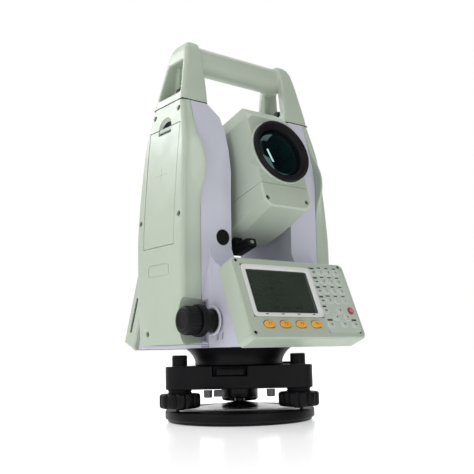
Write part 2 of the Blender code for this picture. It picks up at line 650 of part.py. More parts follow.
def make_telescope():
    matrix = telescope_matrix()
    centre = (0, 0, TRUNNION_Z)
    wide = TELESCOPE_HALF_WIDTH
    # along, top, half width at the top, height where the shoulder chamfer starts
    upper = ((REAR_A, 36.0, 17.0, 24.0), (-20.0, 47.0, 20.0, 33.0), (20.0, 51.5, 21.0, 34.5),
             (FRONT_A - 11.0, 51.5, 21.0, 34.5), (FRONT_A, 37.5, 21.5, 32.5))
    sections = []
    for along, top, crown, shoulder in upper:
        side = wide - 1.0 if along in (REAR_A, FRONT_A) else wide
        sections.append([(-side, SEAM_B, along), (side, SEAM_B, along), (side, shoulder, along), (crown, top, along),
                         (-crown, top, along), (-side, shoulder, along)])
    housing = add_object("telescope_housing", moved(loft(sections), matrix), "pale_green", centre)
    boss = [(0, 50.0), (27.0, 50.0), (30.6, 64.0), (31.6, FRONT_A + 0.6), (31.6, BOSS_A - 0.6), (31.0, BOSS_A),
            (0, BOSS_A)]
    join(housing, tool(moved(turned(boss, 40), matrix)))
    cut(housing, tool(moved(cylinder(26.3, 40.0, 80.0, 36), matrix)))
    cut(housing, tool(moved(cylinder(14.0, -60.0, 45.0, 28), matrix)))

    # along, depth below the sight line, half width at the bottom
    lower = ((REAR_A, 44.0, 18.0), (-25.0, 57.0, 19.5), (0.0, 62.5, 20.5), (30.0, 60.5, 21.0),
             (FRONT_A - 1.5, 54.5, 21.5), (FRONT_A, 53.0, 20.5))
    sections = []
    for along, depth, keel in lower:
        side = wide - 1.0 if along in (REAR_A, FRONT_A) else wide
        top = SEAM_B - GAP
        sections.append([(-side, top, along), (-side, -depth + 7.0, along), (-keel, -depth, along),
                         (keel, -depth, along), (side, -depth + 7.0, along), (side, top, along)])
    add_object("telescope_lower_cover", moved(loft(sections), matrix), "pale_green", centre)

    ring = [(23.8, 46.0), (26.0, 46.0), (26.0, BOSS_A + GAP), (OBJECTIVE_RADIUS, BOSS_A + GAP),
            (OBJECTIVE_RADIUS, OBJECTIVE_TIP_A - 0.8), (OBJECTIVE_RADIUS - 0.8, OBJECTIVE_TIP_A),
            (28.6, OBJECTIVE_TIP_A), (24.8, 72.0), (23.8, 71.0)]
    add_object("objective_ring", moved(turned(ring, 36), matrix), "black", centre)
    lens = [(0, 55.0), (14.0, 55.8), (23.4, 59.0), (23.4, 66.6), (20.0, 68.8), (14.0, 70.9), (7.0, 72.1), (0, 72.5)]
    add_object("objective_lens", moved(turned(lens, 28), matrix), "lens", centre)

    focus = [(10.4, REAR_A - GAP), (19.0, REAR_A - GAP), (19.6, REAR_A - 1.2), (19.6, -62.0), (18.8, -63.0),
             (10.4, -63.0)]
    add_object("focus_ring", moved(turned(focus, 24), matrix), "black", centre)
    eyepiece = [(0, -44.0), (10.0, -44.0), (10.0, -63.4), (15.4, -63.4), (15.4, -74.0), (13.0, -79.6),
                (9.0, -79.6), (8.0, -76.0), (0, -76.0)]
    add_object("eyepiece", moved(turned(eyepiece, 24), matrix), "black", centre)

    for name, side in (("trunnion_left", -1), ("trunnion_right", 1)):
        axle = [(0, wide + GAP), (13.0, wide + GAP), (13.0, 33.8), (10.0, 33.8), (10.0, 49.0), (0, 49.0)]
        add_object(name, moved(turned(axle, 20), aim(centre, (side, 0, 0))), "steel", centre)
    circle = [(10.3, 43.6), (28.0, 43.6), (28.0, 45.4), (10.3, 45.4)]
    add_object("vertical_circle", moved(turned(circle, 28), aim(centre, (-1, 0, 0))), "glass", centre)

    below = [(6.0, -62.7), (6.0, -76.0), (8.5, -78.6), (31.0, -78.6), (32.5, -77.4), (32.5, -71.6), (31.0, -70.4),
             (16.0, -69.4), (14.0, -62.3)]
    above = [(8.0, 50.8), (20.0, 52.1), (38.0, 52.1), (38.0, 59.0), (35.0, 61.6), (12.0, 60.6), (8.0, 58.0)]
    for name, outline, spot, half in (("sight_below", below, -21.5, 4.8), ("sight_above", above, 0.0, 7.5)):
        shape = prism([(0, up, along) for along, up in outline], (spot - half, 0, 0), (spot + half, 0, 0))
        add_object(name, moved(shape, matrix), "black", centre)


def main():
    clear_scene()
    make_base_plate()
    make_spring_plate()
    make_centre_post()
    make_tribrach_body()
    make_clamp_lever()
    make_foot_screws()
    make_circular_level()
    make_centring_flange()
    make_vertical_axis()
    make_alidade_frame()
    make_side_cover("left_side_cover", -1)
    make_side_cover("right_side_cover", 1)
    make_carry_handle()
    make_handle_screws()
    make_battery()
    make_drive("horizontal", HORIZONTAL_DRIVE, (-1, 0, 0))
    make_drive("vertical", VERTICAL_DRIVE, (0, 1, 0))
    make_plunger_cap()
    make_plate_level()
    make_data_port()
    make_electronics()
    make_bearings()
    make_keyboard("front", 0.0, True)
    make_keyboard("rear", math.pi, False)
    make_telescope()


main()
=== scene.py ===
import json
from math import copysign, cos, pi, radians, sin

import bmesh
import bpy
from mathutils import Matrix, Vector


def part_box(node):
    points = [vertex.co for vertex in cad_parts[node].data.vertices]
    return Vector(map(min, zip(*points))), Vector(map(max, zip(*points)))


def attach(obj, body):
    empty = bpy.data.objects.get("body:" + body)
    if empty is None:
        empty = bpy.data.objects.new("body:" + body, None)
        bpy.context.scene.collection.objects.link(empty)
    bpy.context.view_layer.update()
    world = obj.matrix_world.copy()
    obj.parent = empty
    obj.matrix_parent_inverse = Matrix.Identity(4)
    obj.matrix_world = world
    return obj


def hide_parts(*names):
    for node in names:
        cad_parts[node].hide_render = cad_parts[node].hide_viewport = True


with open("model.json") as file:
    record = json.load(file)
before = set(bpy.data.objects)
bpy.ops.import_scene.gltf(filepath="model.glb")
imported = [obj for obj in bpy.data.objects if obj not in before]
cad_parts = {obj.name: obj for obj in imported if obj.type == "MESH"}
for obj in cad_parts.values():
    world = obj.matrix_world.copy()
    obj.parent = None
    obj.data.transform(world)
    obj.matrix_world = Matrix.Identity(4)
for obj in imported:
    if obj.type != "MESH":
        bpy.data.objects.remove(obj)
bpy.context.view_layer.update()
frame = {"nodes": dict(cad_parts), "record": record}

MM = 0.001
RECORD = frame["record"]
BODY_OF = {node: body for body, nodes in RECORD["behaviour"]["bodies"].items() for node in nodes}
SLOT_OF = {part["node"]: part["material_slot"] for part in RECORD["subparts"]}
JOINTS = {joint["name"]: joint for joint in RECORD["behaviour"]["joints"]}


def span(node):
    """Lowest and highest corner of a CAD node, in millimetres."""
    low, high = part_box(node)
    return low / MM, high / MM


def middle(node):
    low, high = span(node)
    return (low + high) / 2


# ---- materials

def new_material(name, colour, roughness, metallic=0.0, **sockets):
    """A Principled material with its fixed values on the shader's own sockets."""
    made = bpy.data.materials.new(name)
    made.use_nodes = True
    shader = made.node_tree.nodes["Principled BSDF"]
    shader.inputs["Base Color"].default_value = (*colour, 1.0)
    shader.inputs["Roughness"].default_value = roughness
    shader.inputs["Metallic"].default_value = metallic
    for socket, value in sockets.items():
        shader.inputs[socket.replace("_", " ")].default_value = value
    return made, made.node_tree, shader


def add(tree, kind, **values):
    node = tree.nodes.new(kind)
    for key, value in values.items():
        if key in node.inputs:
            node.inputs[key].default_value = value
        else:
            setattr(node, key, value)
    return node


def object_space(tree, scale=None):
    """Object coordinates, stretched by a scale for each axis if one is given."""
    coordinates = add(tree, "ShaderNodeTexCoord").outputs["Object"]
    if scale is None:
        return coordinates
    stretch = add(tree, "ShaderNodeMapping", Scale=scale)
    tree.links.new(coordinates, stretch.inputs["Vector"])
    return stretch.outputs["Vector"]


def noise(tree, scale, detail=3.0, stretch=None):
    node = add(tree, "ShaderNodeTexNoise", Scale=scale, Detail=detail)
    tree.links.new(object_space(tree, stretch), node.inputs["Vector"])
    return node.outputs["Fac"]


def ramp(tree, factor, low, high, start=0.3, end=0.7):
    """A two-stop ramp over a factor; low and high are colours or greys."""
    node = add(tree, "ShaderNodeValToRGB")
    for stop, value, position in zip(node.color_ramp.elements, (low, high), (start, end)):
        stop.color = (*value, 1.0) if isinstance(value, tuple) else (value, value, value, 1.0)
        stop.position = position
    tree.links.new(factor, node.inputs["Fac"])
    return node.outputs["Color"]


def mix(tree, factor, first, second, kind="MIX"):
    """Two colours mixed or multiplied; each value is a socket to link or a fixed value."""
    node = add(tree, "ShaderNodeMix", data_type="RGBA", blend_type=kind)
    for socket, value in ((node.inputs[0], factor), (node.inputs[6], first), (node.inputs[7], second)):
        if isinstance(value, tuple):
            socket.default_value = (*value, 1.0)
        elif isinstance(value, float):
            socket.default_value = value
        else:
            tree.links.new(value, socket)
    return node.outputs[2]


def bump(tree, shader, height, strength, distance):
    node = add(tree, "ShaderNodeBump", Strength=strength, Distance=distance)
    tree.links.new(height, node.inputs["Height"])
    tree.links.new(node.outputs["Normal"], shader.inputs["Normal"])


def edge_wear(tree, reach=0.0012):
    """0 on flat faces and up to 1 on rounded-over edges, in patches."""
    rounded = add(tree, "ShaderNodeBevel", samples=4, Radius=reach)
    turn = add(tree, "ShaderNodeVectorMath", operation="DOT_PRODUCT")
    tree.links.new(rounded.outputs["Normal"], turn.inputs[0])
    tree.links.new(add(tree, "ShaderNodeNewGeometry").outputs["Normal"], turn.inputs[1])
    edge = add(tree, "ShaderNodeMapRange")
    edge.inputs["From Min"].default_value = 0.99
    edge.inputs["From Max"].default_value = 0.86
    tree.links.new(turn.outputs["Value"], edge.inputs["Value"])
    patches = add(tree, "ShaderNodeMath", operation="MULTIPLY")
    tree.links.new(edge.outputs["Result"], patches.inputs[0])
    tree.links.new(ramp(tree, noise(tree, 90.0, 4.0), 0.0, 1.0, 0.45, 0.7), patches.inputs[1])
    return patches.outputs["Value"]


def moulded(name, colour, roughness, grain=2600.0, depth=0.00006, shift=0.04, worn=None, **sockets):
    """Moulded or painted surface: fine grain, slow colour drift, uneven gloss, rubbed edges."""
    made, tree, shader = new_material(name, colour, roughness, **sockets)
    dark = tuple(c * (1.0 - shift) for c in colour)
    light = tuple(min(1.0, c * (1.0 + shift)) for c in colour)
    tint = ramp(tree, noise(tree, 22.0, 4.0), dark, light)
    if worn:
        tint = mix(tree, edge_wear(tree), tint, worn)
    tree.links.new(tint, shader.inputs["Base Color"])
    gloss = ramp(tree, noise(tree, 60.0, 5.0), roughness * 0.86, min(1.0, roughness * 1.16))
    tree.links.new(gloss, shader.inputs["Roughness"])
    bump(tree, shader, noise(tree, grain, 2.0), 0.35, depth)
    return made


def machined(name, colour, roughness, **sockets):
    """Turned or ground metal: fine rings across the object's Z axis and a patchy sheen."""
    made, tree, shader = new_material(name, colour, roughness, 1.0, **sockets)
    lines = noise(tree, 90.0, 4.0, (1.0, 1.0, 60.0))
    tree.links.new(ramp(tree, lines, tuple(c * 0.8 for c in colour), colour), shader.inputs["Base Color"])
    tree.links.new(ramp(tree, lines, roughness * 0.75, roughness * 1.3), shader.inputs["Roughness"])
    bump(tree, shader, lines, 0.2, 0.00003)
    return made


def coated_lens():
    """Dark objective glass with a blue-green anti-reflection coating and faint wiping marks."""
    made, tree, shader = new_material("coated_lens", (0.002, 0.006, 0.007), 0.03)
    shader.inputs["Specular IOR Level"].default_value = 1.0
    shader.inputs["Specular Tint"].default_value = (0.42, 0.76, 0.72, 1.0)
    shader.inputs["Coat Weight"].default_value = 0.6
    shader.inputs["Coat Tint"].default_value = (0.55, 0.95, 0.90, 1.0)
    depth = ramp(tree, noise(tree, 30.0, 2.0), (0.0008, 0.0018, 0.0024), (0.003, 0.012, 0.013))
    tree.links.new(depth, shader.inputs["Base Color"])
    tree.links.new(ramp(tree, noise(tree, 140.0, 5.0), 0.015, 0.06, 0.45, 0.75), shader.inputs["Roughness"])
    return made


def clear_glass(name, tint, roughness=0.02):
    made, tree, shader = new_material(name, tint, roughness, Transmission_Weight=0.92, IOR=1.5)
    tree.links.new(ramp(tree, noise(tree, 200.0, 4.0), roughness, roughness * 3.0),
                   shader.inputs["Roughness"])
    tree.links.new(ramp(tree, noise(tree, 40.0, 2.0), tuple(c * 0.94 for c in tint), tint),
                   shader.inputs["Base Color"])
    return made


def liquid_crystal():
    """Dark green liquid crystal behind a window: a fine dot grid and an uneven ground."""
    made, tree, shader = new_material("liquid_crystal", LCD, 0.22, Coat_Weight=1.0, Coat_Roughness=0.05)
    ground = ramp(tree, noise(tree, 28.0, 3.0), tuple(c * 0.85 for c in LCD), tuple(c * 1.15 for c in LCD))
    dots = add(tree, "ShaderNodeTexVoronoi", Scale=1400.0)
    tree.links.new(object_space(tree), dots.inputs["Vector"])
    grid = ramp(tree, dots.outputs["Distance"], 1.0, 0.88, 0.2, 0.7)
    tree.links.new(mix(tree, 0.7, ground, grid, "MULTIPLY"), shader.inputs["Base Color"])
    return made


def circuit_board():
    """Green solder mask with the pale traces of a board under it."""
    made, tree, shader = new_material("circuit_board", (0.02, 0.13, 0.055), 0.35)
    traces = add(tree, "ShaderNodeTexBrick", Scale=160.0)
    traces.inputs["Color1"].default_value = (0.018, 0.12, 0.05, 1.0)
    traces.inputs["Color2"].default_value = (0.022, 0.14, 0.06, 1.0)
    traces.inputs["Mortar"].default_value = (0.10, 0.26, 0.10, 1.0)
    tree.links.new(object_space(tree, (0.0, 1.0, 1.0)), traces.inputs["Vector"])
    tree.links.new(traces.outputs["Color"], shader.inputs["Base Color"])
    tree.links.new(ramp(tree, noise(tree, 80.0), 0.28, 0.45), shader.inputs["Roughness"])
    bump(tree, shader, traces.outputs["Fac"], 0.3, 0.00005)
    return made


GREEN = (0.425, 0.490, 0.405)
LAVENDER = (0.545, 0.550, 0.635)
BLACK = (0.0045, 0.0045, 0.0055)
WHITE = (0.70, 0.72, 0.70)
LCD = (0.034, 0.046, 0.034)
LOOKS = {
    "cover_green": moulded("cover_green", GREEN, 0.40, worn=(0.52, 0.57, 0.50), Coat_Weight=0.12,
                           Coat_Roughness=0.25),
    "frame_lavender": moulded("frame_lavender", LAVENDER, 0.44, 1800.0, 0.00005, 0.03, (0.55, 0.55, 0.64),
                              Coat_Weight=0.12, Coat_Roughness=0.25),
    "black_plastic": moulded("black_plastic", BLACK, 0.44, 2200.0, 0.00008, 0.25, (0.012, 0.012, 0.014),
                             Specular_IOR_Level=0.16),
    "black_metal": moulded("black_metal", (0.007, 0.007, 0.008), 0.30, 3200.0, 0.00004, 0.2,
                           (0.04, 0.04, 0.045), Specular_IOR_Level=0.25),
    "rubber_black": moulded("rubber_black", (0.008, 0.008, 0.009), 0.62, 1500.0, 0.00012, 0.2,
                            Specular_IOR_Level=0.3),
    "white_plastic": moulded("white_plastic", WHITE, 0.32, 3000.0, 0.00003, 0.02),
    "key_yellow": moulded("key_yellow", (0.78, 0.38, 0.05), 0.46, 2600.0, 0.00006, 0.08),
    "key_red": moulded("key_red", (0.42, 0.045, 0.085), 0.46, 2600.0, 0.00006, 0.08),
    "key_mat": moulded("key_mat", (0.47, 0.53, 0.46), 0.5, 2600.0, 0.00006, 0.04),
    "screen_glass": liquid_crystal(),
    "steel": machined("steel", (0.55, 0.55, 0.56), 0.28),
    "brass": machined("brass", (0.62, 0.44, 0.17), 0.32),
    "lens_glass": coated_lens(),
    "clear_glass": clear_glass("clear_glass", (0.72, 0.86, 0.78)),
    "circuit_board": circuit_board(),
}
INK = moulded("legend_ink", (0.035, 0.038, 0.040), 0.55, 3000.0, 0.00002, 0.2)
FAINT_INK = moulded("segments", (0.024, 0.034, 0.025), 0.3, 3000.0, 0.00002, 0.2)
# Darker green for painted shade: on the instrument-height cross it stands for the shade in the groove, and
# it fills the sight holes.
GROOVE_AND_HOLE_SHADE = moulded("painted_groove_and_hole_shade", (0.20, 0.23, 0.19), 0.55, 3000.0, 0.00002, 0.1)
DARK_STEEL = machined("dark_steel", (0.11, 0.11, 0.115), 0.36)
# Near-black for painted shade: sheets in the soft-key wells, the latch slot and the card slot stand for the
# shade in those gaps; the same black draws the telescope's dark seam line.
SHADE_AND_SEAM_DARK = moulded("painted_gap_shade_and_seam_dark", (0.004, 0.004, 0.0045), 0.75, 1500.0, 0.00005, 0.2)


# ---- working shapes, in millimetres

def in_scene(name, data):
    made = bpy.data.objects.new(name, data)
    bpy.context.scene.collection.objects.link(made)
    return made


def working(bm):
    """A working object from a bmesh in millimetres."""
    bmesh.ops.remove_doubles(bm, verts=bm.verts, dist=1e-4)
    bmesh.ops.recalc_face_normals(bm, faces=bm.faces)
    mesh = bpy.data.meshes.new("working")
    bm.to_mesh(mesh)
    bm.free()
    return in_scene("working", mesh)


def applied(piece):
    """The mesh of a working object with its modifiers applied; the object itself goes."""
    mesh = bpy.data.meshes.new_from_object(piece.evaluated_get(bpy.context.evaluated_depsgraph_get()))
    bpy.data.objects.remove(piece)
    return mesh


def combine(piece, others, operation):
    for other in others:
        step = piece.modifiers.new(operation, "BOOLEAN")
        step.operation = operation
        step.object = other
    mesh = applied(piece)
    for other in others:
        bpy.data.objects.remove(other)
    return in_scene("working", mesh)


def cut(piece, *others):
    return combine(piece, others, "DIFFERENCE")


def join(piece, *others):
    return combine(piece, others, "UNION")


def copy_of(node):
    """A working copy of a CAD node's shape, with its split faces welded and its flat faces whole."""
    bm = bmesh.new()
    bm.from_mesh(frame["nodes"][node].data)
    for vert in bm.verts:
        vert.co = vert.co / MM
    bmesh.ops.remove_doubles(bm, verts=bm.verts, dist=2e-3)
    bmesh.ops.dissolve_limit(bm, angle_limit=radians(0.5), verts=bm.verts, edges=bm.edges)
    return working(bm)


def round_edges(piece, width, segments, limit):
    rounding = piece.modifiers.new("rounding", "BEVEL")
    rounding.width = width
    rounding.segments = segments
    rounding.limit_method = "ANGLE"
    rounding.angle_limit = radians(limit)


def finish(piece, name, body, look, slot, nodes=(), bevel=0.0, segments=3, limit=32.0, sharp=40.0):
    """Round the edges of a working object and put it in the scene, in metres, on its body."""
    if bevel:
        round_edges(piece, bevel, segments, limit)
    mesh = applied(piece)
    mesh.transform(Matrix.Diagonal((MM, MM, MM, 1.0)))
    for name_of_layer in ("custom_normal", "sharp_edge"):
        layer = mesh.attributes.get(name_of_layer)
        if layer:
            mesh.attributes.remove(layer)
    mesh.shade_smooth()
    mesh.set_sharp_from_angle(angle=radians(sharp))
    mesh.materials.clear()
    mesh.materials.append(look if isinstance(look, bpy.types.Material) else LOOKS[look])
    made = in_scene(name, mesh)
    if bevel:
        weighted = made.modifiers.new("weighted", "WEIGHTED_NORMAL")
        weighted.keep_sharp = True
    if nodes:
        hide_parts(*nodes)
    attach(made, body)
    return made


def stand_for(node, piece, **rounding):
    """The working object stands for a CAD node, with that node's body and the material of its slot."""
    slot = SLOT_OF[node]
    return finish(piece, node + "_look", BODY_OF[node], slot, slot, (node,), **rounding)


def loft(sections):
    bm = bmesh.new()
    rings = [[bm.verts.new(point) for point in section] for section in sections]
    count = len(rings[0])
    for low, high in zip(rings, rings[1:]):
        for i in range(count):
            j = (i + 1) % count
            bm.faces.new((low[i], low[j], high[j], high[i]))
    bm.faces.new(reversed(rings[0]))
    bm.faces.new(rings[-1])
    return bm


def prism(outline, start, end):
    start, end = Vector(start), Vector(end)
    return loft([[Vector(p) + start for p in outline], [Vector(p) + end for p in outline]])


def box(low, high):
    outline = [(low[0], low[1], 0), (high[0], low[1], 0), (high[0], high[1], 0), (low[0], high[1], 0)]
    return prism(outline, (0, 0, low[2]), (0, 0, high[2]))


def turned(profile, steps=64, flutes=0, depth=0.0, sharpness=1.0):
    """A lathe shape about Z from (radius, height) or (radius, height, share) points.

    A point's share, 0 to 1, says how far the flutes cut in there. A profile that doesn't touch the
    axis is a ring.
    """
    closed = profile[0][0] > 0
    bm = bmesh.new()
    rings = []
    for radius, height, *share in profile:
        ring = []
        for k in range(steps):
            angle = 2 * pi * k / steps
            wave = (0.5 - 0.5 * cos(flutes * angle)) ** sharpness if flutes else 0.0
            reach = radius - depth * wave * (share[0] if share else 0.0)
            ring.append(bm.verts.new((reach * cos(angle), reach * sin(angle), height)))
        rings.append(ring)
    pairs = list(zip(rings, rings[1:])) + ([(rings[-1], rings[0])] if closed else [])
    for low, high in pairs:
        for i in range(steps):
            j = (i + 1) % steps
            bm.faces.new((low[i], low[j], high[j], high[i]))
    bmesh.ops.remove_doubles(bm, verts=bm.verts, dist=1e-5)
    return bm


def cylinder(radius, low, high, steps=48):
    return turned([(0, low), (radius, low), (radius, high), (0, high)], steps)


def moved(bm, matrix):
    bmesh.ops.transform(bm, matrix=matrix, verts=bm.verts)
    return bm


def at(x, y, z):
    return Matrix.Translation((x, y, z))


def lathe(place, profile, *turning):
    """A working lathe shape about a place's Z axis."""
    return working(moved(turned(profile, *turning), place))


def axes_along(x, y, z):
    """The turn that takes the axes to three directions."""
    return Matrix((Vector(x), Vector(y), Vector(z))).transposed().to_4x4()


def aim(origin, direction):
    """The place at an origin whose Z axis points along a direction."""
    turn = Vector((0, 0, 1)).rotation_difference(Vector(direction)).to_matrix().to_4x4()
    return Matrix.Translation(Vector(origin)) @ turn


def gathered(shapes):
    """One working object from several bmeshes."""
    together = bmesh.new()
    for bm in shapes:
        part = bpy.data.meshes.new("part")
        bm.to_mesh(part)
        bm.free()
        together.from_mesh(part)
        bpy.data.meshes.remove(part)
    return working(together)


def oval(centre, half_x, half_y, power=2.0, count=40):
    """A superellipse in the XY plane."""
    points = []
    for k in range(count):
        c, s = cos(2 * pi * k / count), sin(2 * pi * k / count)
        x = half_x * copysign(abs(c) ** (2 / power), c)
        y = half_y * copysign(abs(s) ** (2 / power), s)
        points.append((centre[0] + x, centre[1] + y, 0))
    return points


def smooth_between(stations, height, column):
    """Read one column of a station list at a height along a Catmull-Rom curve."""
    heights = [station[0] for station in stations]
    height = min(max(height, heights[0]), heights[-1])
    i = max(k for k in range(len(stations) - 1) if heights[k] <= height)
    values = [stations[min(max(k, 0), len(stations) - 1)] for k in range(i - 1, i + 3)]
    (h0, v0), (h1, v1), (h2, v2), (h3, v3) = [(value[0], value[column]) for value in values]
    run = h2 - h1
    slope_1 = (v2 - v0) / (h2 - h0)
    slope_2 = (v3 - v1) / (h3 - h1)
    t = (height - h1) / run
    return ((2 * t ** 3 - 3 * t ** 2 + 1) * v1 + (t ** 3 - 2 * t ** 2 + t) * run * slope_1
            + (3 * t ** 2 - 2 * t ** 3) * v2 + (t ** 3 - t ** 2) * run * slope_2)


def steps_between(low, high, count):
    return [low + (high - low) * k / count for k in range(count + 1)]


def oval_pad(centre, half_x, half_y, power, count, low, high):
    """A straight-sided pad over a superellipse, between two heights."""
    return prism(oval(centre, half_x, half_y, power, count), (0, 0, low), (0, 0, high))


def oval_stack(levels, power, count=40):
    """A loft through superellipses: (height, centre, half x, half y) for each."""
    return loft([[(x, y, level) for x, y, _ in oval(centre, half_x, half_y, power, count)]
                 for level, centre, half_x, half_y in levels])


# ---- screws

def screw(place, radius=2.1, depth=2.4):
    """A socket-head screw whose head is sunk below the surface at a place, along local Z."""
    head = [(0, -depth - 2.2), (radius, -depth - 2.2), (radius, -depth - 0.3), (radius - 0.3, -depth),
            (radius * 0.62, -depth), (radius * 0.55, -depth - 1.4), (0, -depth - 1.4)]
    return moved(turned(head, 24), place)


def screw_hole(place, radius=2.5, depth=2.4):
    hole = [(0, -depth - 2.4), (radius, -depth - 2.4), (radius, -0.5), (radius + 0.5, 0.05),
            (radius + 0.5, 3.0), (0, 3.0)]
    return lathe(place, hole, 28)


# ---- side covers and battery

LEFT_COVER_LOW, LEFT_COVER_HIGH = span("left_side_cover")
PARTING_X = -LEFT_COVER_HIGH.x
COVER_BOTTOM = LEFT_COVER_LOW.z
SHOULDER = LEFT_COVER_HIGH.z
TRUNNION = Vector(JOINTS["telescope_tilt"]["pos_m"]) / MM
DRIVE_ROOT = middle("horizontal_clamp_ring")
DRIVE_ROOT.x = span("horizontal_tangent_knob")[1].x - 1.0
CORNER_RADIUS = 3.6
LABEL_HEIGHT = 135.2
# height, half width, half depth at the corner, half depth at the parting plane
COVER_STATIONS = (
    (COVER_BOTTOM, 86.3, 37.5, 38.8),
    (120.0, 88.2, 38.0, 39.2),
    (165.0, 88.6, 38.2, 39.6),
    (190.0, 87.4, 37.5, 40.0),
    (204.0, 86.5, 37.0, 42.6),
    (213.0, 85.8, 36.6, 46.6),
    (223.0, 85.0, 36.1, 49.0),
    (234.0, 84.1, 35.3, 48.0),
    (245.0, 83.1, 34.3, 43.6),
    (256.0, 82.0, 33.0, 37.0),
    (270.0, 80.4, 29.6, 31.4),
    (SHOULDER, 77.8, 24.0, 25.0),
)
# across, height and lean of the two small slots below the horizontal drive
SMALL_SLOTS = ((-50.2, 75.6, 0.12), (-57.0, 76.2, 0.16))
# half distance apart and height of each pair of screws
COVER_SCREWS = ((20.0, 282.5), (32.0, 182.0), (22.0, 79.6))


def cover_face(height):
    return smooth_between(COVER_STATIONS, height, 1)


def cover_section(side, height):
    """Outline of a cover at a height: parting edge, hollow flank, rounded corner, and mirrored."""
    half_width, corner, parting = (smooth_between(COVER_STATIONS, height, column) for column in (1, 2, 3))
    run = half_width - CORNER_RADIUS - PARTING_X
    half = [(PARTING_X, parting - 0.6), (PARTING_X + 0.2, parting - 0.15)]
    for share in steps_between(0.94, 0.0, 9):
        t = min(max((share - 0.10) / 0.80, 0.0), 1.0)
        swell = t * t * (3 - 2 * t)
        half.append((half_width - CORNER_RADIUS - share * run, corner + (parting - corner) * swell))
    for angle in steps_between(90, 0, 6)[1:]:
        turn = radians(angle)
        half.append((half_width - CORNER_RADIUS + CORNER_RADIUS * cos(turn),
                     corner - CORNER_RADIUS + CORNER_RADIUS * sin(turn)))
    return ([(side * x, -y, height) for x, y in half]
            + [(side * x, y, height) for x, y in reversed(half)])


def cover_shell(side):
    heights = steps_between(COVER_BOTTOM, 190.0, 12) + steps_between(190.0, SHOULDER, 30)[1:]
    shell = working(loft([cover_section(side, height) for height in heights]))
    inside = []
    for height in (COVER_BOTTOM + 3, 120.0, 190.0, 234.0, 256.0, SHOULDER - 4):
        wall = cover_face(height) - 2.8
        depth = smooth_between(COVER_STATIONS, height, 2) - 3.4
        inside.append([(side * 65.0, -depth, height), (side * wall, -depth + 1.5, height),
                       (side * wall, depth - 1.5, height), (side * 65.0, depth, height)])
    return shell, working(loft(inside))


def screw_places(side):
    return [aim((side * (cover_face(height) + 0.02), way * y, height), (side, 0, 0))
            for y, height in COVER_SCREWS for way in (-1, 1)
            if not (side < 0 and way < 0 and height < 100.0)]


def finger_room(grow):
    """An oval funnel round the horizontal drive, opening towards the cover's face."""
    levels = ((0.0, 21.0, 15.2), (10.0, 22.0, 15.6), (20.0, 24.2, 16.4), (25.0, 25.6, 17.2),
              (28.0, 27.6, 19.4), (40.0, 40.0, 32.0))
    return oval_stack([(level, (0, 0), half_height + grow, half_width + grow)
                       for level, half_height, half_width in levels], 1.8, 72)


def make_covers():
    battery_low, battery_high = span("battery_pack")
    for side, node in ((-1, "left_side_cover"), (1, "right_side_cover")):
        shell, cavity = cover_shell(side)
        outer = Vector((side, 0, 0))
        cutters = [screw_hole(place) for place in screw_places(side)]
        if side < 0:
            cavity = cut(cavity, working(moved(finger_room(2.6), aim(DRIVE_ROOT, outer))))
            cutters.append(working(moved(finger_room(0.0), aim(DRIVE_ROOT, outer))))
            low = (-95.0, battery_low.y - 0.5, battery_low.z - 0.5)
            high = (-66.0, battery_high.y + 0.5, battery_high.z + 0.7)
            cutters.append(working(box(low, high)))
            top = battery_high.z + 0.4
            bowl = [(0, 76.4), (5.0, 76.5), (8.6, 77.3), (10.4, 79.0), (10.9, 81.0), (11.0, 90.0),
                    (0, 90.0)]
            cutters.append(lathe(aim((0, 0, top), outer), bowl, 48))
            face = cover_face(LABEL_HEIGHT)
            recess = oval_pad((0, 0), 17.0, 5.4, 7.0, 48, face - 0.45, face + 3)
            raised = oval_pad((0, 0), 16.2, 4.6, 7.0, 48, 60.0, face - 0.12)
            place = at(0, 0, LABEL_HEIGHT) @ axes_along((0, -1, 0), (0, 0, 1), (-1, 0, 0))
            cutters.append(cut(working(moved(recess, place)), working(moved(raised, place))))
        else:
            socket = middle("data_socket")
            hole = [(0, 60.0), (9.4, 60.0), (9.4, 86.0), (10.0, 86.6), (10.0, 95.0), (0, 95.0)]
            cutters.append(lathe(aim((0, 0, socket.z), outer), hole, 48))
        shell = cut(shell, cavity, *cutters)
        stand_for(node, shell, bevel=0.35, segments=2, limit=50.0)
        label = "left" if side < 0 else "right"
        heads = gathered([screw(place) for place in screw_places(side)])
        finish(heads, f"cover_screws_{label}", "alidade", "black_metal", "black_metal", sharp=30.0)


def make_battery():
    low, high = span("battery_pack")
    outer = [(-cover_face(height), 0, height) for height in steps_between(low.z, high.z, 16)]
    inner = [(-70.0, 0, high.z - 2.6), (-70.0, 0, 250.0), (high.x, 0, 241.0), (high.x, 0, low.z)]
    shape = working(prism(outer + inner, (0, low.y, 0), (0, high.y, 0)))
    latch_low, latch_high = span("battery_latch")
    slot = box((-95.0, latch_low.y - 0.4, latch_low.z - 2.7), (-71.0, latch_high.y + 0.4, high.z + 8))
    shape = cut(shape, working(slot))
    stand_for("battery_pack", shape, bevel=0.45, segments=2, limit=50.0)

    # The instrument-height cross: thin darker sheets on the battery's face, painted shade of the groove.
    centre = TRUNNION.z
    marks = []
    for half_y, half_z in ((9.5, 0.12), (0.12, 7.5)):
        face = [(-cover_face(z), z) for z in steps_between(centre - half_z, centre + half_z, 4)]
        outline = [(x - 0.04, 0, z) for x, z in face] + [(x + 0.5, 0, z) for x, z in reversed(face)]
        marks.append(prism(outline, (0, -half_y, 0), (0, half_y, 0)))
    finish(gathered(marks), "instrument_height_mark", "battery", GROOVE_AND_HOLE_SHADE, "black_plastic")

    stand_for("battery_latch", copy_of("battery_latch"), bevel=0.4)
    # A dark sheet in the gap under the battery latch: painted shade.
    shadow = box((-74.6, latch_low.y - 0.2, latch_low.z - 2.6), (-71.6, latch_high.y + 0.2,
                                                                 latch_low.z - 0.3))
    finish(working(shadow), "latch_slot_painted_shade", "battery", SHADE_AND_SEAM_DARK, "black_plastic", bevel=0.1)


# ---- carry handle

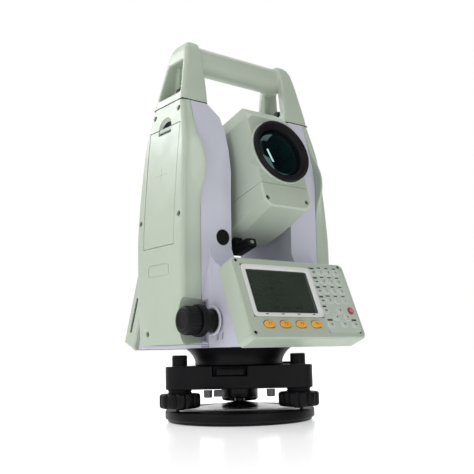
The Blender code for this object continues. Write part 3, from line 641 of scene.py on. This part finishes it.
def make_handle():
    """Legs, windows and grip melted into one moulding, then smoothed."""
    shape = copy_of("carry_handle")
    low, high = span("carry_handle")
    ends = []
    for side in (-1, 1):
        sections = []
        for reach, power in ((40.0, 2.0), (46.0, 2.1), (49.0, 2.35), (52.0, 2.9), (55.0, 3.6)):
            ring = oval((0, 0), 12.4, 13.5, power, 32)
            sections.append([(side * reach, y, high.z - 13.6 + z) for y, z, _ in ring])
        ends.append(working(loft(sections)))
        for way in (-1, 1):
            outline = [(0, way * 19.5, 297.0), (0, way * 12.8, 297.0), (0, way * 9.4, 334.5),
                       (0, way * 13.0, 336.0)]
            ends.append(working(prism(outline, (side * 50.0, 0, 0), (side * 58.0, 0, 0))))
    shape = join(shape, *ends)
    voxels = shape.modifiers.new("voxels", "REMESH")
    voxels.mode = "VOXEL"
    voxels.voxel_size = 0.9
    soften = shape.modifiers.new("soften", "SMOOTH")
    soften.factor = 0.5
    soften.iterations = 9
    thin = shape.modifiers.new("thin", "DECIMATE")
    thin.ratio = 0.35
    shape = in_scene("working", applied(shape))
    seat = box((low.x - 5, low.y - 5, low.z - 5), (high.x + 5, high.y + 5, low.z + 1.05))
    shape = cut(shape, working(seat))
    stand_for("carry_handle", shape, sharp=60.0)

    for side, name in ((-1, "left"), (1, "right")):
        inner, outer, half = side * 49.4, side * 77.5, 23.9
        outline = [(inner, -half, 0), (outer, -half, 0), (outer, half, 0), (inner, half, 0)]
        pad = prism(outline, (0, 0, SHOULDER + 0.02), (0, 0, SHOULDER + 1.28))
        finish(working(pad), f"handle_gasket_{name}", "alidade", "rubber_black", "rubber_black", bevel=0.2)
        node = f"handle_screw_{name}"
        bottom, top = span(node)
        head = [(0, bottom.z), (3.0, bottom.z), (3.0, top.z - 9.0), (6.0, top.z - 9.0),
                (6.4, top.z - 8.4, 1), (6.4, top.z - 1.4, 1), (5.7, top.z - 0.4), (5.0, top.z),
                (3.2, top.z), (2.9, top.z - 3.2), (0, top.z - 3.2)]
        knob = moved(turned(head, 120, 30, 0.35), at(side * 61.0, 0, 0))
        stand_for(node, working(knob), sharp=30.0)


# ---- alidade frame

def corner_web(way_x, way_y):
    """Fills the inner corner between a standard and a keyboard's carrier with a hollow curve."""
    sections = []
    for height, radius in ((69.5, 7.6), (112.0, 7.6), (122.0, 6.6), (130.0, 4.6), (136.0, 2.4),
                           (141.0, 0.9)):
        outline = [(60.0, 37.4), (61.0 + radius, 37.4), (61.0 + radius, 38.5)]
        for angle in steps_between(0, 90, 8)[1:-1]:
            turn = radians(angle)
            outline.append((61.05 + radius * (1 - sin(turn)), 38.45 + radius * (1 - cos(turn))))
        outline += [(61.0, 38.4 + radius), (60.0, 38.4 + radius)]
        sections.append([(way_x * x, way_y * y, height) for x, y in outline])
    return working(loft(sections))


def make_frame():
    shape = join(copy_of("alidade_frame"), *[corner_web(x, y) for x in (-1, 1) for y in (-1, 1)])
    slots = [working(moved(finger_room(0.0), aim(DRIVE_ROOT, (-1, 0, 0))))]
    for y, z, lean in SMALL_SLOTS:
        slot = oval_pad((0, 0), 1.2, 3.2, 4.0, 24, -2.2, 3.0)
        turn = axes_along((0, 1, 0), (0, 0, 1), (1, 0, 0))
        place = at(-61.0, y, z) @ turn @ Matrix.Rotation(lean, 4, "Z")
        slots.append(working(moved(slot, place @ Matrix.Rotation(pi, 4, "Y"))))
    shape = cut(shape, *slots)
    stand_for("alidade_frame", shape, bevel=1.1, limit=30.0, sharp=35.0)

    collar = [(10.2, 0.05), (12.8, 0.05), (12.7, 0.4), (12.3, 0.8), (11.8, 1.0), (11.2, 1.0), (10.5, 0.9),
              (10.2, 0.5)]
    collar = lathe(aim(DRIVE_ROOT, (-1, 0, 0)), collar, 72)
    finish(collar, "horizontal_drive_collar", "alidade", "frame_lavender", "frame_lavender", sharp=50.0)


# ---- drives

def knob_profile(low, high, radius):
    """A gripped knob with a rounded outer end and a shallow dish, from one height to another."""
    return [(radius - 1.7, low), (radius - 0.4, low + 0.5, 0.3), (radius, low + 1.2, 1),
            (radius, high - 3.4, 1), (radius - 0.4, high - 1.9, 0.5), (radius - 1.3, high - 0.6),
            (radius - 2.6, high), (radius - 4.4, high), (radius - 5.0, high - 0.5), (0, high - 0.7)]


def make_drives():
    for prefix, direction in (("horizontal", Vector((-1, 0, 0))), ("vertical", Vector((0, 1, 0)))):
        node = f"{prefix}_tangent_knob"
        low, high = span(node)
        axis = 0 if direction.x else 1
        length = high[axis] - low[axis]
        origin = (low + high) / 2 - direction * (length / 2 + 1.0)
        place = aim(origin, direction)
        stem = [(0, 1.0), (3.9, 1.0), (3.9, 20.2)]
        knob = turned(stem + knob_profile(20.2, 32.9, 12.3), 168, 28, 0.45, 1.6)
        stand_for(node, working(moved(knob, place)), sharp=34.0)
        ring = [(4.3, 0.3), (9.6, 0.3), (9.6, 3.0), (9.2, 3.6), (9.2, 4.6), (9.6, 5.2), (9.6, 12.0),
                (10.8, 12.7), (13.2, 13.3), (13.8, 14.1, 1), (13.8, 18.8, 1), (13.2, 19.6), (11.8, 19.8),
                (4.3, 19.8)]
        shape = lathe(place, ring, 180, 36, 0.4, 1.2)
        stand_for(f"{prefix}_clamp_ring", shape, sharp=34.0)

    low, high = span("vertical_plunger_cap")
    cap = [(0, 0.1), (7.0, 0.1), (7.0, 1.7), (6.5, 2.3), (5.6, 2.4), (5.3, 2.0), (4.9, 2.0), (4.6, 2.35),
           (0, 2.2)]
    spot = ((low.x + high.x) / 2, high.y + 0.1, (low.z + high.z) / 2)
    stand_for("vertical_plunger_cap", lathe(aim(spot, (0, -1, 0)), cap, 56), sharp=30.0)


# ---- keyboards

SCREEN_CENTRE = (-18.2, 6.4)
SCREEN_FRAME = (78.0, 48.2)
SCREEN_OPENING = (69.0, 40.0)
KEYPAD_AREA = (21.6, 62.0, -31.6, 31.4)
SOFT_KEY_V = -24.3
SOFT_KEY_X = (-43.8, -26.5, -8.9, 8.5)
POWER_KEY = (56.4, -10.9)
PANEL_HALF = (66.0, 37.0)
PANEL_CENTRE = Vector((0.0, -88.9, 106.7))
PANEL_OUT = Vector(JOINTS["power_key_press"]["axis"])
PANEL_OUT = PANEL_OUT if PANEL_OUT.y < 0 else -PANEL_OUT
CROSS = (42.9, -17.2)
NUMBER_X = 34.4
SIDE_KEY_X = 25.2
# height and growth of a key's raised rim
KEY_RIM = ((-0.3, 0.95), (0.03, 0.9), (0.14, 0.7), (0.14, 0.35), (-0.3, 0.3))
ESCAPE_KEY = (26.6, -24.3)
ENTER_KEY = (56.8, -24.3)


def panel_matrix(turn):
    """From a keyboard's own axes, across, up the face and out of it, to the instrument's."""
    up = PANEL_OUT.cross(Vector((1, 0, 0)))
    axes = axes_along((1, 0, 0), up, PANEL_OUT)
    return Matrix.Rotation(turn, 4, "Z") @ Matrix.Translation(PANEL_CENTRE) @ axes


def dome(outline, inner, low, high, edge=0.5):
    """A key cap: straight sides, a rounded shoulder and a gently crowned top."""
    centre, half_x, half_y, power = outline
    rings = ((low, 0.0), (high - edge, 0.0), (high - edge * 0.5, edge * 0.16),
             (high - edge * 0.15, edge * 0.5), (high, edge * 1.1), (high + inner * 0.6, half_y * 0.5),
             (high + inner, half_y * 0.8))
    return oval_stack([(level, centre, half_x - inset, half_y - inset) for level, inset in rings], power)


def glyphs(entries, matrix, depth=0.06):
    """Short generic legends as thin raised print: (text, (x, y), height above the face, size)."""
    shapes = []
    for text, (x, y), level, size in entries:
        curve = bpy.data.curves.new("legend", "FONT")
        curve.body = text
        curve.size = size
        curve.align_x = "CENTER"
        curve.align_y = "CENTER"
        curve.extrude = depth
        curve.resolution_u = 2
        bm = bmesh.new()
        bm.from_mesh(applied(in_scene("legend", curve)))
        shapes.append(moved(bm, matrix @ at(x, y, level)))
    return shapes


def bars(spots, half_x, half_y, level, matrix):
    """Small printed dashes."""
    low, high = level - 0.05, level + 0.05
    return [moved(box((x - half_x, y - half_y, low), (x + half_x, y + half_y, high)), matrix) for x,
            y in spots]


def arrow(x, y, level, turn, size, matrix):
    outline = [(0, size, 0), (-size * 0.8, -size * 0.5, 0), (size * 0.8, -size * 0.5, 0)]
    place = matrix @ at(x, y, level) @ Matrix.Rotation(turn, 4, "Z")
    return moved(prism(outline, (0, 0, -0.05), (0, 0, 0.05)), place)


def number_keys():
    legends = ("7", "8", "9", "4", "5", "6", "1", "2", "3", "0", ".", "-")
    spots = [(NUMBER_X + 9.6 * column, 27.3 - 9.4 * row) for row in range(4) for column in range(3)]
    return list(zip(legends, spots))


def make_keypad(prefix, matrix, separate):
    x0, x1, y0, y1 = KEYPAD_AREA
    centre = ((x0 + x1) / 2, (y0 + y1) / 2)
    half_x, half_y = (x1 - x0) / 2 + 0.4, (y1 - y0) / 2 + 0.4
    mat = working(moved(oval_pad(centre, half_x, half_y, 16.0, 64, -1.3, 0.03), matrix))
    if separate:
        mat = cut(mat, working(moved(cylinder(3.5, -3, 3, 40), matrix @ at(*POWER_KEY, 0))))
    keys = [((spot), 3.3, 2.5, 2.2) for _, spot in number_keys()]
    keys += [((SIDE_KEY_X, 26.6 - 9.4 * row), 2.6, 2.2, 2.2) for row in range(5)]
    offsets = ((0, 6.6), (-6.6, 0), (6.6, 0), (0, -6.6))
    keys += [((CROSS[0] + dx, CROSS[1] + dy), 3.0, 2.6, 2.2) for dx, dy in offsets]
    keys += [(ESCAPE_KEY, 3.2, 2.6, 2.2), (ENTER_KEY, 3.2, 2.6, 2.2)]
    if not separate:
        keys.append((POWER_KEY, 3.0, 3.0, 2.0))
    domes = []
    rims = []
    for key in keys:
        domes.append(moved(dome(key, 0.12, -0.6, 0.82, 0.45), matrix))
        centre, half_x, half_y, power = key
        rim = [(level, centre, half_x + grow, half_y + grow) for level, grow in KEY_RIM]
        rims.append(moved(oval_stack(rim, power), matrix))
    bm = bmesh.new()
    bm.from_mesh(applied(mat))
    stand_for(f"{prefix}_keypad", gathered([bm] + domes), sharp=40.0)
    finish(gathered(rims), f"{prefix}_key_rims", "alidade", "white_plastic", "white_plastic", sharp=40.0)

    legends = glyphs([(text, (x, y - 0.1), 0.97, 3.4) for text, (x, y) in number_keys()], matrix)
    legends += bars([(x - 0.6, y + 4.2) for _, (x, y) in number_keys()], 2.1, 0.55, 0.06, matrix)
    legends += bars([(SIDE_KEY_X, 26.6 - 9.4 * row + 4.0) for row in range(5)], 2.2, 0.8, 0.06, matrix)
    legends += bars([(SIDE_KEY_X, 26.6 - 9.4 * row) for row in range(5)], 1.4, 0.5, 0.96, matrix)
    legends += bars([(x, v + 4.3) for x, v in (ESCAPE_KEY, ENTER_KEY)], 3.0, 0.85, 0.06, matrix)
    legends += bars([ESCAPE_KEY, ENTER_KEY], 1.3, 0.45, 0.96, matrix)
    for (dx, dy), turn in zip(offsets, (0.0, pi / 2, -pi / 2, pi)):
        legends.append(arrow(CROSS[0] + dx, CROSS[1] + dy, 0.96, turn, 1.2, matrix))
    finish(gathered(legends), f"{prefix}_key_legends", "alidade", INK, "black_plastic")


def make_soft_keys(matrix):
    for i, x in enumerate(SOFT_KEY_X):
        node = f"front_soft_key_{i + 1}"
        body = BODY_OF[node]
        cap = dome(((x, SOFT_KEY_V), 5.8, 3.1, 2.4), 0.12, -2.6, 1.38, 0.7)
        stand_for(node, working(moved(cap, matrix)), sharp=50.0)
        legend = glyphs([(f"F{i + 1}", (x, SOFT_KEY_V - 0.1), 1.47, 3.3)], matrix, 0.04)
        finish(gathered(legend), f"soft_key_legend_{i + 1}", body, INK, "black_plastic")
    # Dark rings sunk round the soft keys, each set 0.2 mm to the left so that a dark crescent shows at the
    # key's left edge: painted shadow of the gap round each key.
    wells = []
    for x in SOFT_KEY_X:
        outer, inner = (x - 0.2, SOFT_KEY_V), (x, SOFT_KEY_V)
        rings = ((-4.3, outer, 6.15, 3.6), (-0.2, outer, 6.15, 3.6),
                 (-0.2, inner, 5.95, 3.25), (-4.1, inner, 5.95, 3.25))
        wells.append(moved(oval_stack(rings, 2.4), matrix))
    finish(gathered(wells), "soft_key_painted_shadows", "alidade", SHADE_AND_SEAM_DARK, "black_plastic")
    cap = dome((POWER_KEY, 3.0, 3.0, 2.0), 0.12, -2.6, 1.38, 0.6)
    stand_for("front_power_key", working(moved(cap, matrix)), sharp=50.0)


def power_symbol(matrix, body, name, level):
    """An open ring with a bar through the gap."""
    points = []
    for reach, sweep in ((1.35, range(-145, 146, 10)), (1.0, range(145, -146, -10))):
        for angle in sweep:
            turn = radians(angle - 90)
            points.append((POWER_KEY[0] + reach * cos(turn), POWER_KEY[1] + reach * sin(turn), 0))
    ring = moved(prism(points, (0, 0, level), (0, 0, level + 0.08)), matrix)
    bar = moved(box((POWER_KEY[0] - 0.18, POWER_KEY[1] + 0.2, level),
                    (POWER_KEY[0] + 0.18, POWER_KEY[1] + 1.6, level + 0.08)), matrix)
    finish(gathered([ring, bar]), name, body, "white_plastic", "white_plastic")


def panel_screws(matrix):
    return [matrix @ at(x, v, 0.0) for x in (-60.0, 60.0) for v in (-31.2, 34.2)]


def make_display(prefix, turn):
    matrix = panel_matrix(turn)
    housing = copy_of(f"{prefix}_display_housing")
    if prefix == "front":
        for i, x in enumerate(SOFT_KEY_X):
            socket = oval_pad((x, SOFT_KEY_V), 6.4, 3.7, 2.4, 40, -4.4, 5)
            housing = cut(housing, working(moved(socket, matrix)))
    corner_screws = panel_screws(matrix)
    housing = cut(housing, *[screw_hole(place, 1.7, 1.5) for place in corner_screws])
    if prefix == "rear":
        slot = oval_pad((0, 0), 1.9, 18.0, 8.0, 32, -3.0, 4.0)
        turn_out = axes_along((0, 0, 1), (0, 1, 0), (-1, 0, 0))
        place = matrix @ at(PANEL_HALF[0], -4.0, -8.6) @ turn_out
        opening = place @ Matrix.Rotation(pi, 4, "Y")
        housing = cut(housing, working(moved(slot, opening)))
        # A dark sheet inside the card slot: painted shade of the slot.
        slot_shade = oval_pad((0, 0), 1.5, 17.4, 8.0, 32, -2.9, -1.0)
        finish(working(moved(slot_shade, opening)), "card_slot_painted_shade", "alidade", SHADE_AND_SEAM_DARK, "black_plastic",
               bevel=0.1)
    stand_for(f"{prefix}_display_housing", housing, bevel=2.0, limit=28.0, segments=4)
    heads = gathered([screw(place, 1.5, 1.1) for place in corner_screws])
    finish(heads, f"{prefix}_panel_screws", "alidade", "black_metal", "black_metal", sharp=30.0)

    cx, cy = SCREEN_CENTRE
    half_w, half_h = SCREEN_FRAME[0] / 2, SCREEN_FRAME[1] / 2
    open_w, open_h = SCREEN_OPENING[0] / 2, SCREEN_OPENING[1] / 2
    rim = working(moved(oval_pad((cx, cy), half_w, half_h, 22.0, 64, -1.2, 0.9), matrix))
    hole = [(level, (cx, cy), open_w + grow, open_h + grow)
            for level, grow in ((-5.0, 0.0), (-0.4, 0.0), (1.2, 1.3), (5.0, 1.3))]
    rim = cut(rim, working(moved(oval_stack(hole, 30.0, 64), matrix)))
    stand_for(f"{prefix}_screen_frame", rim, bevel=0.4, limit=40.0)
    marks = bars([(x, cy - half_h + 2.2) for x in SOFT_KEY_X], 1.5, 0.4, 0.92, matrix)
    finish(gathered(marks), f"{prefix}_frame_marks", "alidade", INK, "black_plastic")
    stand_for(f"{prefix}_screen", copy_of(f"{prefix}_screen"), bevel=0.15)

    rows = []
    for row, widths in enumerate(((14, 9), (8, 16, 5), (8, 12), (8, 18, 6), (22,), (10, 10, 10, 10))):
        x = cx - open_w + 4.0
        y = cy + open_h - 5.0 - row * 6.0
        for width in widths:
            rows.append(moved(box((x, y - 0.9, -1.46), (x + width, y + 0.9, -1.42)), matrix))
            x += width + 3.0
    finish(gathered(rows), f"{prefix}_screen_segments", "alidade", FAINT_INK, "screen_glass")

    make_keypad(prefix, matrix, prefix == "front")
    if prefix == "front":
        make_soft_keys(matrix)
        power_symbol(matrix, "power_key", "power_symbol_front", 1.44)
    else:
        power_symbol(matrix, "alidade", "power_symbol_rear", 0.90)


# ---- telescope

ELEVATION = radians(15.5)
WIDE = 28.0
FRONT_A = 67.0
REAR_A = -50.0
BOSS_A = 70.4
TIP_A = 75.4
SEAM_B = -32.0
OBJECTIVE_RADIUS = 30.7


def telescope_matrix():
    """From the telescope's axes, across, up and along the sight line, to the instrument's."""
    along = Vector((0, -cos(ELEVATION), sin(ELEVATION)))
    up = Vector((0, sin(ELEVATION), cos(ELEVATION)))
    return Matrix.Translation(TRUNNION) @ axes_along((1, 0, 0), up, along)


def make_telescope():
    matrix = telescope_matrix()
    stand_for("telescope_housing", copy_of("telescope_housing"), bevel=2.2, limit=20.0, segments=4)
    places = [matrix @ at(x, -46.2, FRONT_A) for x in (-23.3, 22.8)]
    flip = Matrix.Rotation(pi, 4, "Y")
    places += [matrix @ at(x, -38.0, REAR_A) @ flip for x in (-21.5, 21.5)]
    lower = cut(copy_of("telescope_lower_cover"), *[screw_hole(place, 2.1, 2.0) for place in places])
    stand_for("telescope_lower_cover", lower, bevel=2.8, limit=20.0, segments=5)
    heads = gathered([screw(place, 1.8, 1.7) for place in places])
    finish(heads, "telescope_screws", "telescope", "black_metal", "black_metal", sharp=30.0)
    seam = box((-WIDE + 0.9, SEAM_B - 0.25, REAR_A + 0.9), (WIDE - 0.9, SEAM_B - 0.05, FRONT_A - 0.9))
    finish(working(moved(seam, matrix)), "telescope_seam", "telescope", SHADE_AND_SEAM_DARK, "black_plastic")

    rim = OBJECTIVE_RADIUS
    ring = [(24.0, 46.0), (26.0, 46.0), (26.0, BOSS_A + 0.3), (rim - 0.5, BOSS_A + 0.3),
            (rim, BOSS_A + 0.8), (rim, TIP_A - 1.0), (rim - 0.3, TIP_A - 0.3), (rim - 0.9, TIP_A),
            (29.2, TIP_A), (28.7, TIP_A - 0.4)]
    for k in range(5):
        ring += [(28.4 - k * 0.7, TIP_A - 0.8 - k * 0.62), (28.0 - k * 0.7, TIP_A - 0.8 - k * 0.62)]
    ring += [(24.9, 72.0), (24.3, 71.8), (24.0, 71.2)]
    stand_for("objective_ring", lathe(matrix, ring, 128), sharp=28.0)
    crown = [(23.8 * sin(t), 67.0 + 5.8 * (cos(t) - cos(1.5))) for t in steps_between(1.5, 0, 14)]
    lens = [(0, 55.0), (14.0, 55.8), (23.8, 59.0)] + crown[:-1] + [(0, crown[-1][1])]
    stand_for("objective_lens", lathe(matrix, lens, 96), sharp=50.0)

    rear = REAR_A - 0.3
    focus = [(10.4, rear), (18.6, rear), (19.2, rear - 0.5), (19.6, rear - 1.3, 1), (19.6, -61.2, 1),
             (19.2, -62.3), (18.4, -63.0), (15.0, -63.0), (10.4, -62.8)]
    stand_for("focus_ring", lathe(matrix, focus, 240, 48, 0.5, 1.4), sharp=34.0)
    eyepiece = [(0, -44.0), (10.0, -44.0), (10.0, -63.4), (14.9, -63.4), (15.4, -64.0, 1), (15.4, -70.6, 1),
                (15.0, -71.2), (15.2, -72.4), (15.0, -74.6), (13.9, -77.6), (12.6, -79.3), (11.4, -79.6),
                (9.6, -79.6), (8.6, -79.0), (8.0, -76.4), (7.4, -76.2)]
    stand_for("eyepiece", lathe(matrix, eyepiece + [(0, -76.2)], 200, 40, 0.45, 1.4), sharp=34.0)
    glass = [(0, -76.4), (7.3, -76.4), (6.0, -76.9), (4.0, -77.3), (2.0, -77.5), (0, -77.55)]
    finish(lathe(matrix, glass, 48), "eyepiece_glass", "eyepiece", "lens_glass", "lens_glass",
           sharp=50.0)

    for name, front, up, x in (("sight_below", 32.5, -74.5, -21.5), ("sight_above", 38.0, 55.6, 0.0)):
        place = matrix @ at(x, up, front)
        hole = cylinder(2.3, -2.4, 3.0, 40)
        body = cut(copy_of(name), working(moved(hole, place)))
        stand_for(name, body, bevel=0.9, limit=30.0)
        # A dark fill sunk in each sight hole: painted shade inside the hole.
        window = [(0, -2.5), (2.15, -2.5), (2.15, -0.4), (1.95, -0.15), (1.6, -0.15), (1.4, -0.6),
                  (0.8, -0.5), (0, -0.45)]
        window = lathe(place, window, 40)
        finish(window, name + "_window", "telescope", GROOVE_AND_HOLE_SHADE, "steel", sharp=40.0)


# ---- tribrach

def make_tribrach():
    stand_for("tribrach_body", copy_of("tribrach_body"), bevel=0.9, limit=30.0)
    low, high = span("base_plate")
    radius, top = high.x, high.z
    plate = [(8.0, 0.4), (8.4, 0), (radius - 3.2, 0), (radius - 2.6, 0.3), (radius - 2.2, 2.4),
             (radius - 0.5, 2.8), (radius, 3.3), (radius, top - 1.5), (radius - 0.4, top - 0.5),
             (radius - 1.4, top), (8.6, top), (8.0, top - 0.6)]
    stand_for("base_plate", working(turned(plate, 160)), sharp=34.0)
    low, high = span("centre_post")
    post = [(0, low.z), (16.4, low.z), (17.0, low.z + 0.5), (16.6, low.z + 1.2), (12.0, low.z + 3.2),
            (5.4, low.z + 4.4), (4.6, low.z + 5.0), (4.6, low.z + 7.2), (5.4, low.z + 7.9), (15.0, 20.4),
            (16.8, 21.2), (17.2, 22.2), (17.2, high.z), (0, high.z)]
    stand_for("centre_post", working(turned(post, 72)), sharp=34.0)
    for letter in "abc":
        node = f"foot_screw_{letter}"
        spot = Vector(JOINTS[f"{node}_turn"]["pos_m"]) / MM
        place = at(spot.x, spot.y, 0)
        screw_shape = [(0, 11.2), (4.0, 11.2), (4.0, 13.6), (15.2, 13.6), (17.0, 14.0, 0.6),
                       (17.9, 14.9, 1), (18.3, 16.0, 1), (18.3, 24.4, 1), (17.9, 25.4, 1),
                       (16.8, 26.2, 0.6), (11.2, 26.5), (10.6, 26.9), (10.6, 27.6), (10.1, 27.9),
                       (10.1, 28.4), (10.6, 28.7), (10.6, 29.6), (4.0, 29.6), (4.0, 45.0), (0, 45.0)]
        knob = moved(turned(screw_shape, 192, 12, 1.5, 5.0), place)
        stand_for(node, working(knob), sharp=34.0)
        node = f"foot_screw_cap_{letter}"
        low, high = span(node)
        cap = [(0, low.z), (6.8, low.z), (6.8, high.z - 1.4), (6.5, high.z - 0.5), (5.8, high.z),
               (2.0, high.z), (1.8, high.z - 0.4), (0, high.z - 0.4)]
        stand_for(node, lathe(place, cap, 56), sharp=34.0)
    low, high = span("centring_flange")
    flange = [(0, low.z), (17.7, low.z), (17.7, 50.6), (40.8, 50.6), (41.4, 51.2), (41.1, 53.5),
              (41.7, 56.0), (43.3, 59.4), (46.0, 62.8), (48.2, 64.6), (49.0, 65.4), (48.9, high.z),
              (0, high.z)]
    stand_for("centring_flange", working(turned(flange, 120)), sharp=34.0)

    studs = []
    for x, y in ((-53.6, -24.4), (-9.2, -56.4)):
        stud = [(0, 23.6), (3.0, 23.6), (3.5, 24.1), (3.7, 29.9), (0, 29.9)]
        studs.append(moved(turned(stud, 32), at(x, y, 0)))
    finish(gathered(studs), "tribrach_studs", "tribrach", DARK_STEEL, "steel", sharp=34.0)
    block = box((-4.6, -4.0, 24.4), (4.6, 4.0, 29.9))
    block = moved(block, at(-46.0, -30.4, 0) @ Matrix.Rotation(radians(-38.2), 4, "Z"))
    finish(working(block), "tribrach_lock_block", "tribrach", DARK_STEEL, "steel", bevel=0.7)


# ---- levels

def make_levels():
    low, high = span("circular_level_vial")
    place = Matrix.Translation(((low.x + high.x) / 2, (low.y + high.y) / 2, 0))
    crown = [(9.7 * cos(t), high.z - 1.4 + 1.4 * sin(t)) for t in steps_between(0, pi / 2, 8)]
    vial = [(0, low.z), (9.7, low.z)] + crown[:-1] + [(0, high.z)]
    stand_for("circular_level_vial", lathe(place, vial, 64), sharp=40.0)
    bubble = [(0, -0.7), (1.6, -0.55), (2.3, 0), (1.6, 0.35), (0, 0.45)]
    shape = lathe(place @ at(0.8, -0.6, high.z - 0.9), bubble, 40)
    finish(shape, "circular_level_bubble", "tribrach", "white_plastic", "clear_glass", sharp=60.0)
    circle = [(3.3, 0.0), (3.7, 0.0), (3.7, 0.08), (3.3, 0.08)]
    shape = lathe(place @ at(0, 0, high.z - 0.14), circle, 48)
    finish(shape, "circular_level_ring", "tribrach", INK, "black_plastic")

    low, high = span("plate_level_vial")
    centre = (low + high) / 2
    place = aim(centre, (1, 0, 0))
    radius = (high.z - low.z) / 2
    gauge = []
    for offset in (-9.0, -6.6, 6.6, 9.0):
        band = [(radius - 0.02, offset - 0.14), (radius + 0.06, offset - 0.14),
                (radius + 0.06, offset + 0.14), (radius - 0.02, offset + 0.14)]
        gauge.append(moved(turned(band, 40), place))
    finish(gathered(gauge), "plate_level_marks", "alidade", INK, "black_plastic")
    bubble = [(1.9 * sin(t), -5.4 * cos(t)) for t in steps_between(0.0, pi, 12)]
    bubble = [(0, bubble[0][1])] + bubble[1:-1] + [(0, bubble[-1][1])]
    shape = moved(turned(bubble, 28), aim(centre + Vector((0, 0, radius - 2.4)), (1, 0, 0)))
    finish(working(shape), "plate_level_bubble", "alidade", "white_plastic", "clear_glass", sharp=60.0)


# ---- data port and board

def make_small_parts():
    stand_for("data_socket_cap", copy_of("data_socket_cap"), bevel=0.5)
    face = span("main_circuit_board")[1].x
    chips = [box((face, y - w, z - h), (face + 1.6, y + w, z + h)) for y, z, w,
             h in ((-10.0, 150.0, 7.0, 7.0), (12.0, 146.0, 4.0, 6.0), (8.0, 176.0, 9.0, 5.0),
                   (-14.0, 186.0, 5.0, 8.0), (10.0, 206.0, 6.0, 6.0), (-12.0, 216.0, 7.0, 4.0))]
    finish(gathered(chips), "board_chips", "alidade", "black_plastic", "black_plastic", bevel=0.2)


make_covers()
make_battery()
make_handle()
make_frame()
make_drives()
make_display("front", 0.0)
make_display("rear", pi)
make_telescope()
make_tribrach()
make_levels()
make_small_parts()

# ---- CAD nodes that stay as they are

for node, piece in frame["nodes"].items():
    if piece.hide_render:
        continue
    piece.data.materials.clear()
    piece.data.materials.append(LOOKS[SLOT_OF[node]])
    weld = piece.modifiers.new("weld", "WELD")
    weld.merge_threshold = 0.000002
    round_edges(piece, 0.3 * MM, 2, 34)


# ---- stage, light, camera

def make_stage():
    sheet = bpy.data.meshes.new("floor")
    bm = bmesh.new()
    bmesh.ops.create_grid(bm, x_segments=2, y_segments=2, size=6.0)
    bm.to_mesh(sheet)
    bm.free()
    floor = in_scene("floor", sheet)
    floor.location.z = -0.0003
    surface, tree, shader = new_material("floor", (0.96, 0.96, 0.96), 0.16)
    tree.links.new(ramp(tree, noise(tree, 1.5), 0.15, 0.17), shader.inputs["Roughness"])
    shader.inputs["Emission Color"].default_value = (1.0, 1.0, 1.0, 1.0)
    shader.inputs["Emission Strength"].default_value = 0.42
    sheet.materials.append(surface)


def area_light(name, location, target, size, power):
    lamp = bpy.data.lights.new(name, "AREA")
    lamp.shape = "RECTANGLE"
    lamp.size, lamp.size_y = size
    lamp.energy = power
    made = in_scene(name, lamp)
    made.location = location
    made.rotation_euler = (Vector(target) - Vector(location)).to_track_quat("-Z", "Y").to_euler()


def make_lights():
    centre = (0.0, 0.0, 0.2)
    area_light("key_left", (-1.5, -0.1, 1.0), centre, (0.9, 1.3), 8.0)
    area_light("sheen_left", (-0.58, 0.92, 0.86), (-0.08, 0.0, 0.25), (0.40, 0.40), 4.6)
    area_light("fill_front", (-0.2, -1.9, 0.8), centre, (1.6, 1.0), 7.5)
    area_light("lens_strip", (0.42, -1.0, 0.92), (0.0, -0.07, 0.24), (0.09, 0.40), 1.0)
    area_light("top", (0.1, 0.3, 1.9), centre, (2.4, 2.4), 15.0)
    world = bpy.data.worlds.new("studio")
    bpy.context.scene.world = world
    world.use_nodes = True
    tree = world.node_tree
    background = tree.nodes["Background"]
    background.inputs["Strength"].default_value = 1.0
    direction = add(tree, "ShaderNodeTexCoord").outputs["Generated"]
    behind = add(tree, "ShaderNodeVectorMath", operation="DOT_PRODUCT")
    behind.inputs[1].default_value = (sin(radians(37.9)), cos(radians(37.9)), 0.0)
    tree.links.new(direction, behind.inputs[0])
    backdrop = ramp(tree, behind.outputs["Value"], 0.34, 1.0, 0.2, 0.75)
    aside = add(tree, "ShaderNodeVectorMath", operation="DOT_PRODUCT")
    aside.inputs[1].default_value = (0.607, -0.589, 0.534)
    tree.links.new(direction, aside.inputs[0])
    shade = ramp(tree, aside.outputs["Value"], 1.0, 0.04, 0.66, 0.88)
    tree.links.new(mix(tree, 1.0, backdrop, shade, "MULTIPLY"), background.inputs["Color"])


def make_camera():
    """Low at the front left, looking up a little."""
    azimuth, pitch, roll = radians(37.9), radians(8.9), radians(1.2)
    distance, height, aside = 0.695, 0.0636, 0.0007
    ahead = Vector((sin(azimuth), cos(azimuth), 0.0))
    right = Vector((cos(azimuth), -sin(azimuth), 0.0))
    upright = Vector((0.0, 0.0, 1.0))
    look = ahead * cos(pitch) + upright * sin(pitch)
    up = upright * cos(pitch) - ahead * sin(pitch)
    rolled_right = right * cos(roll) - up * sin(roll)
    rolled_up = up * cos(roll) + right * sin(roll)
    data = bpy.data.cameras.new("camera")
    data.sensor_width = 36.0
    data.lens = 55.0
    place = right * aside - ahead * distance + upright * height
    made = in_scene("camera", data)
    made.matrix_world = Matrix.Translation(place) @ axes_along(rolled_right, rolled_up, -look)
    bpy.context.scene.camera = made


make_stage()
make_lights()
make_camera()
bpy.context.scene.view_settings.view_transform = "Standard"
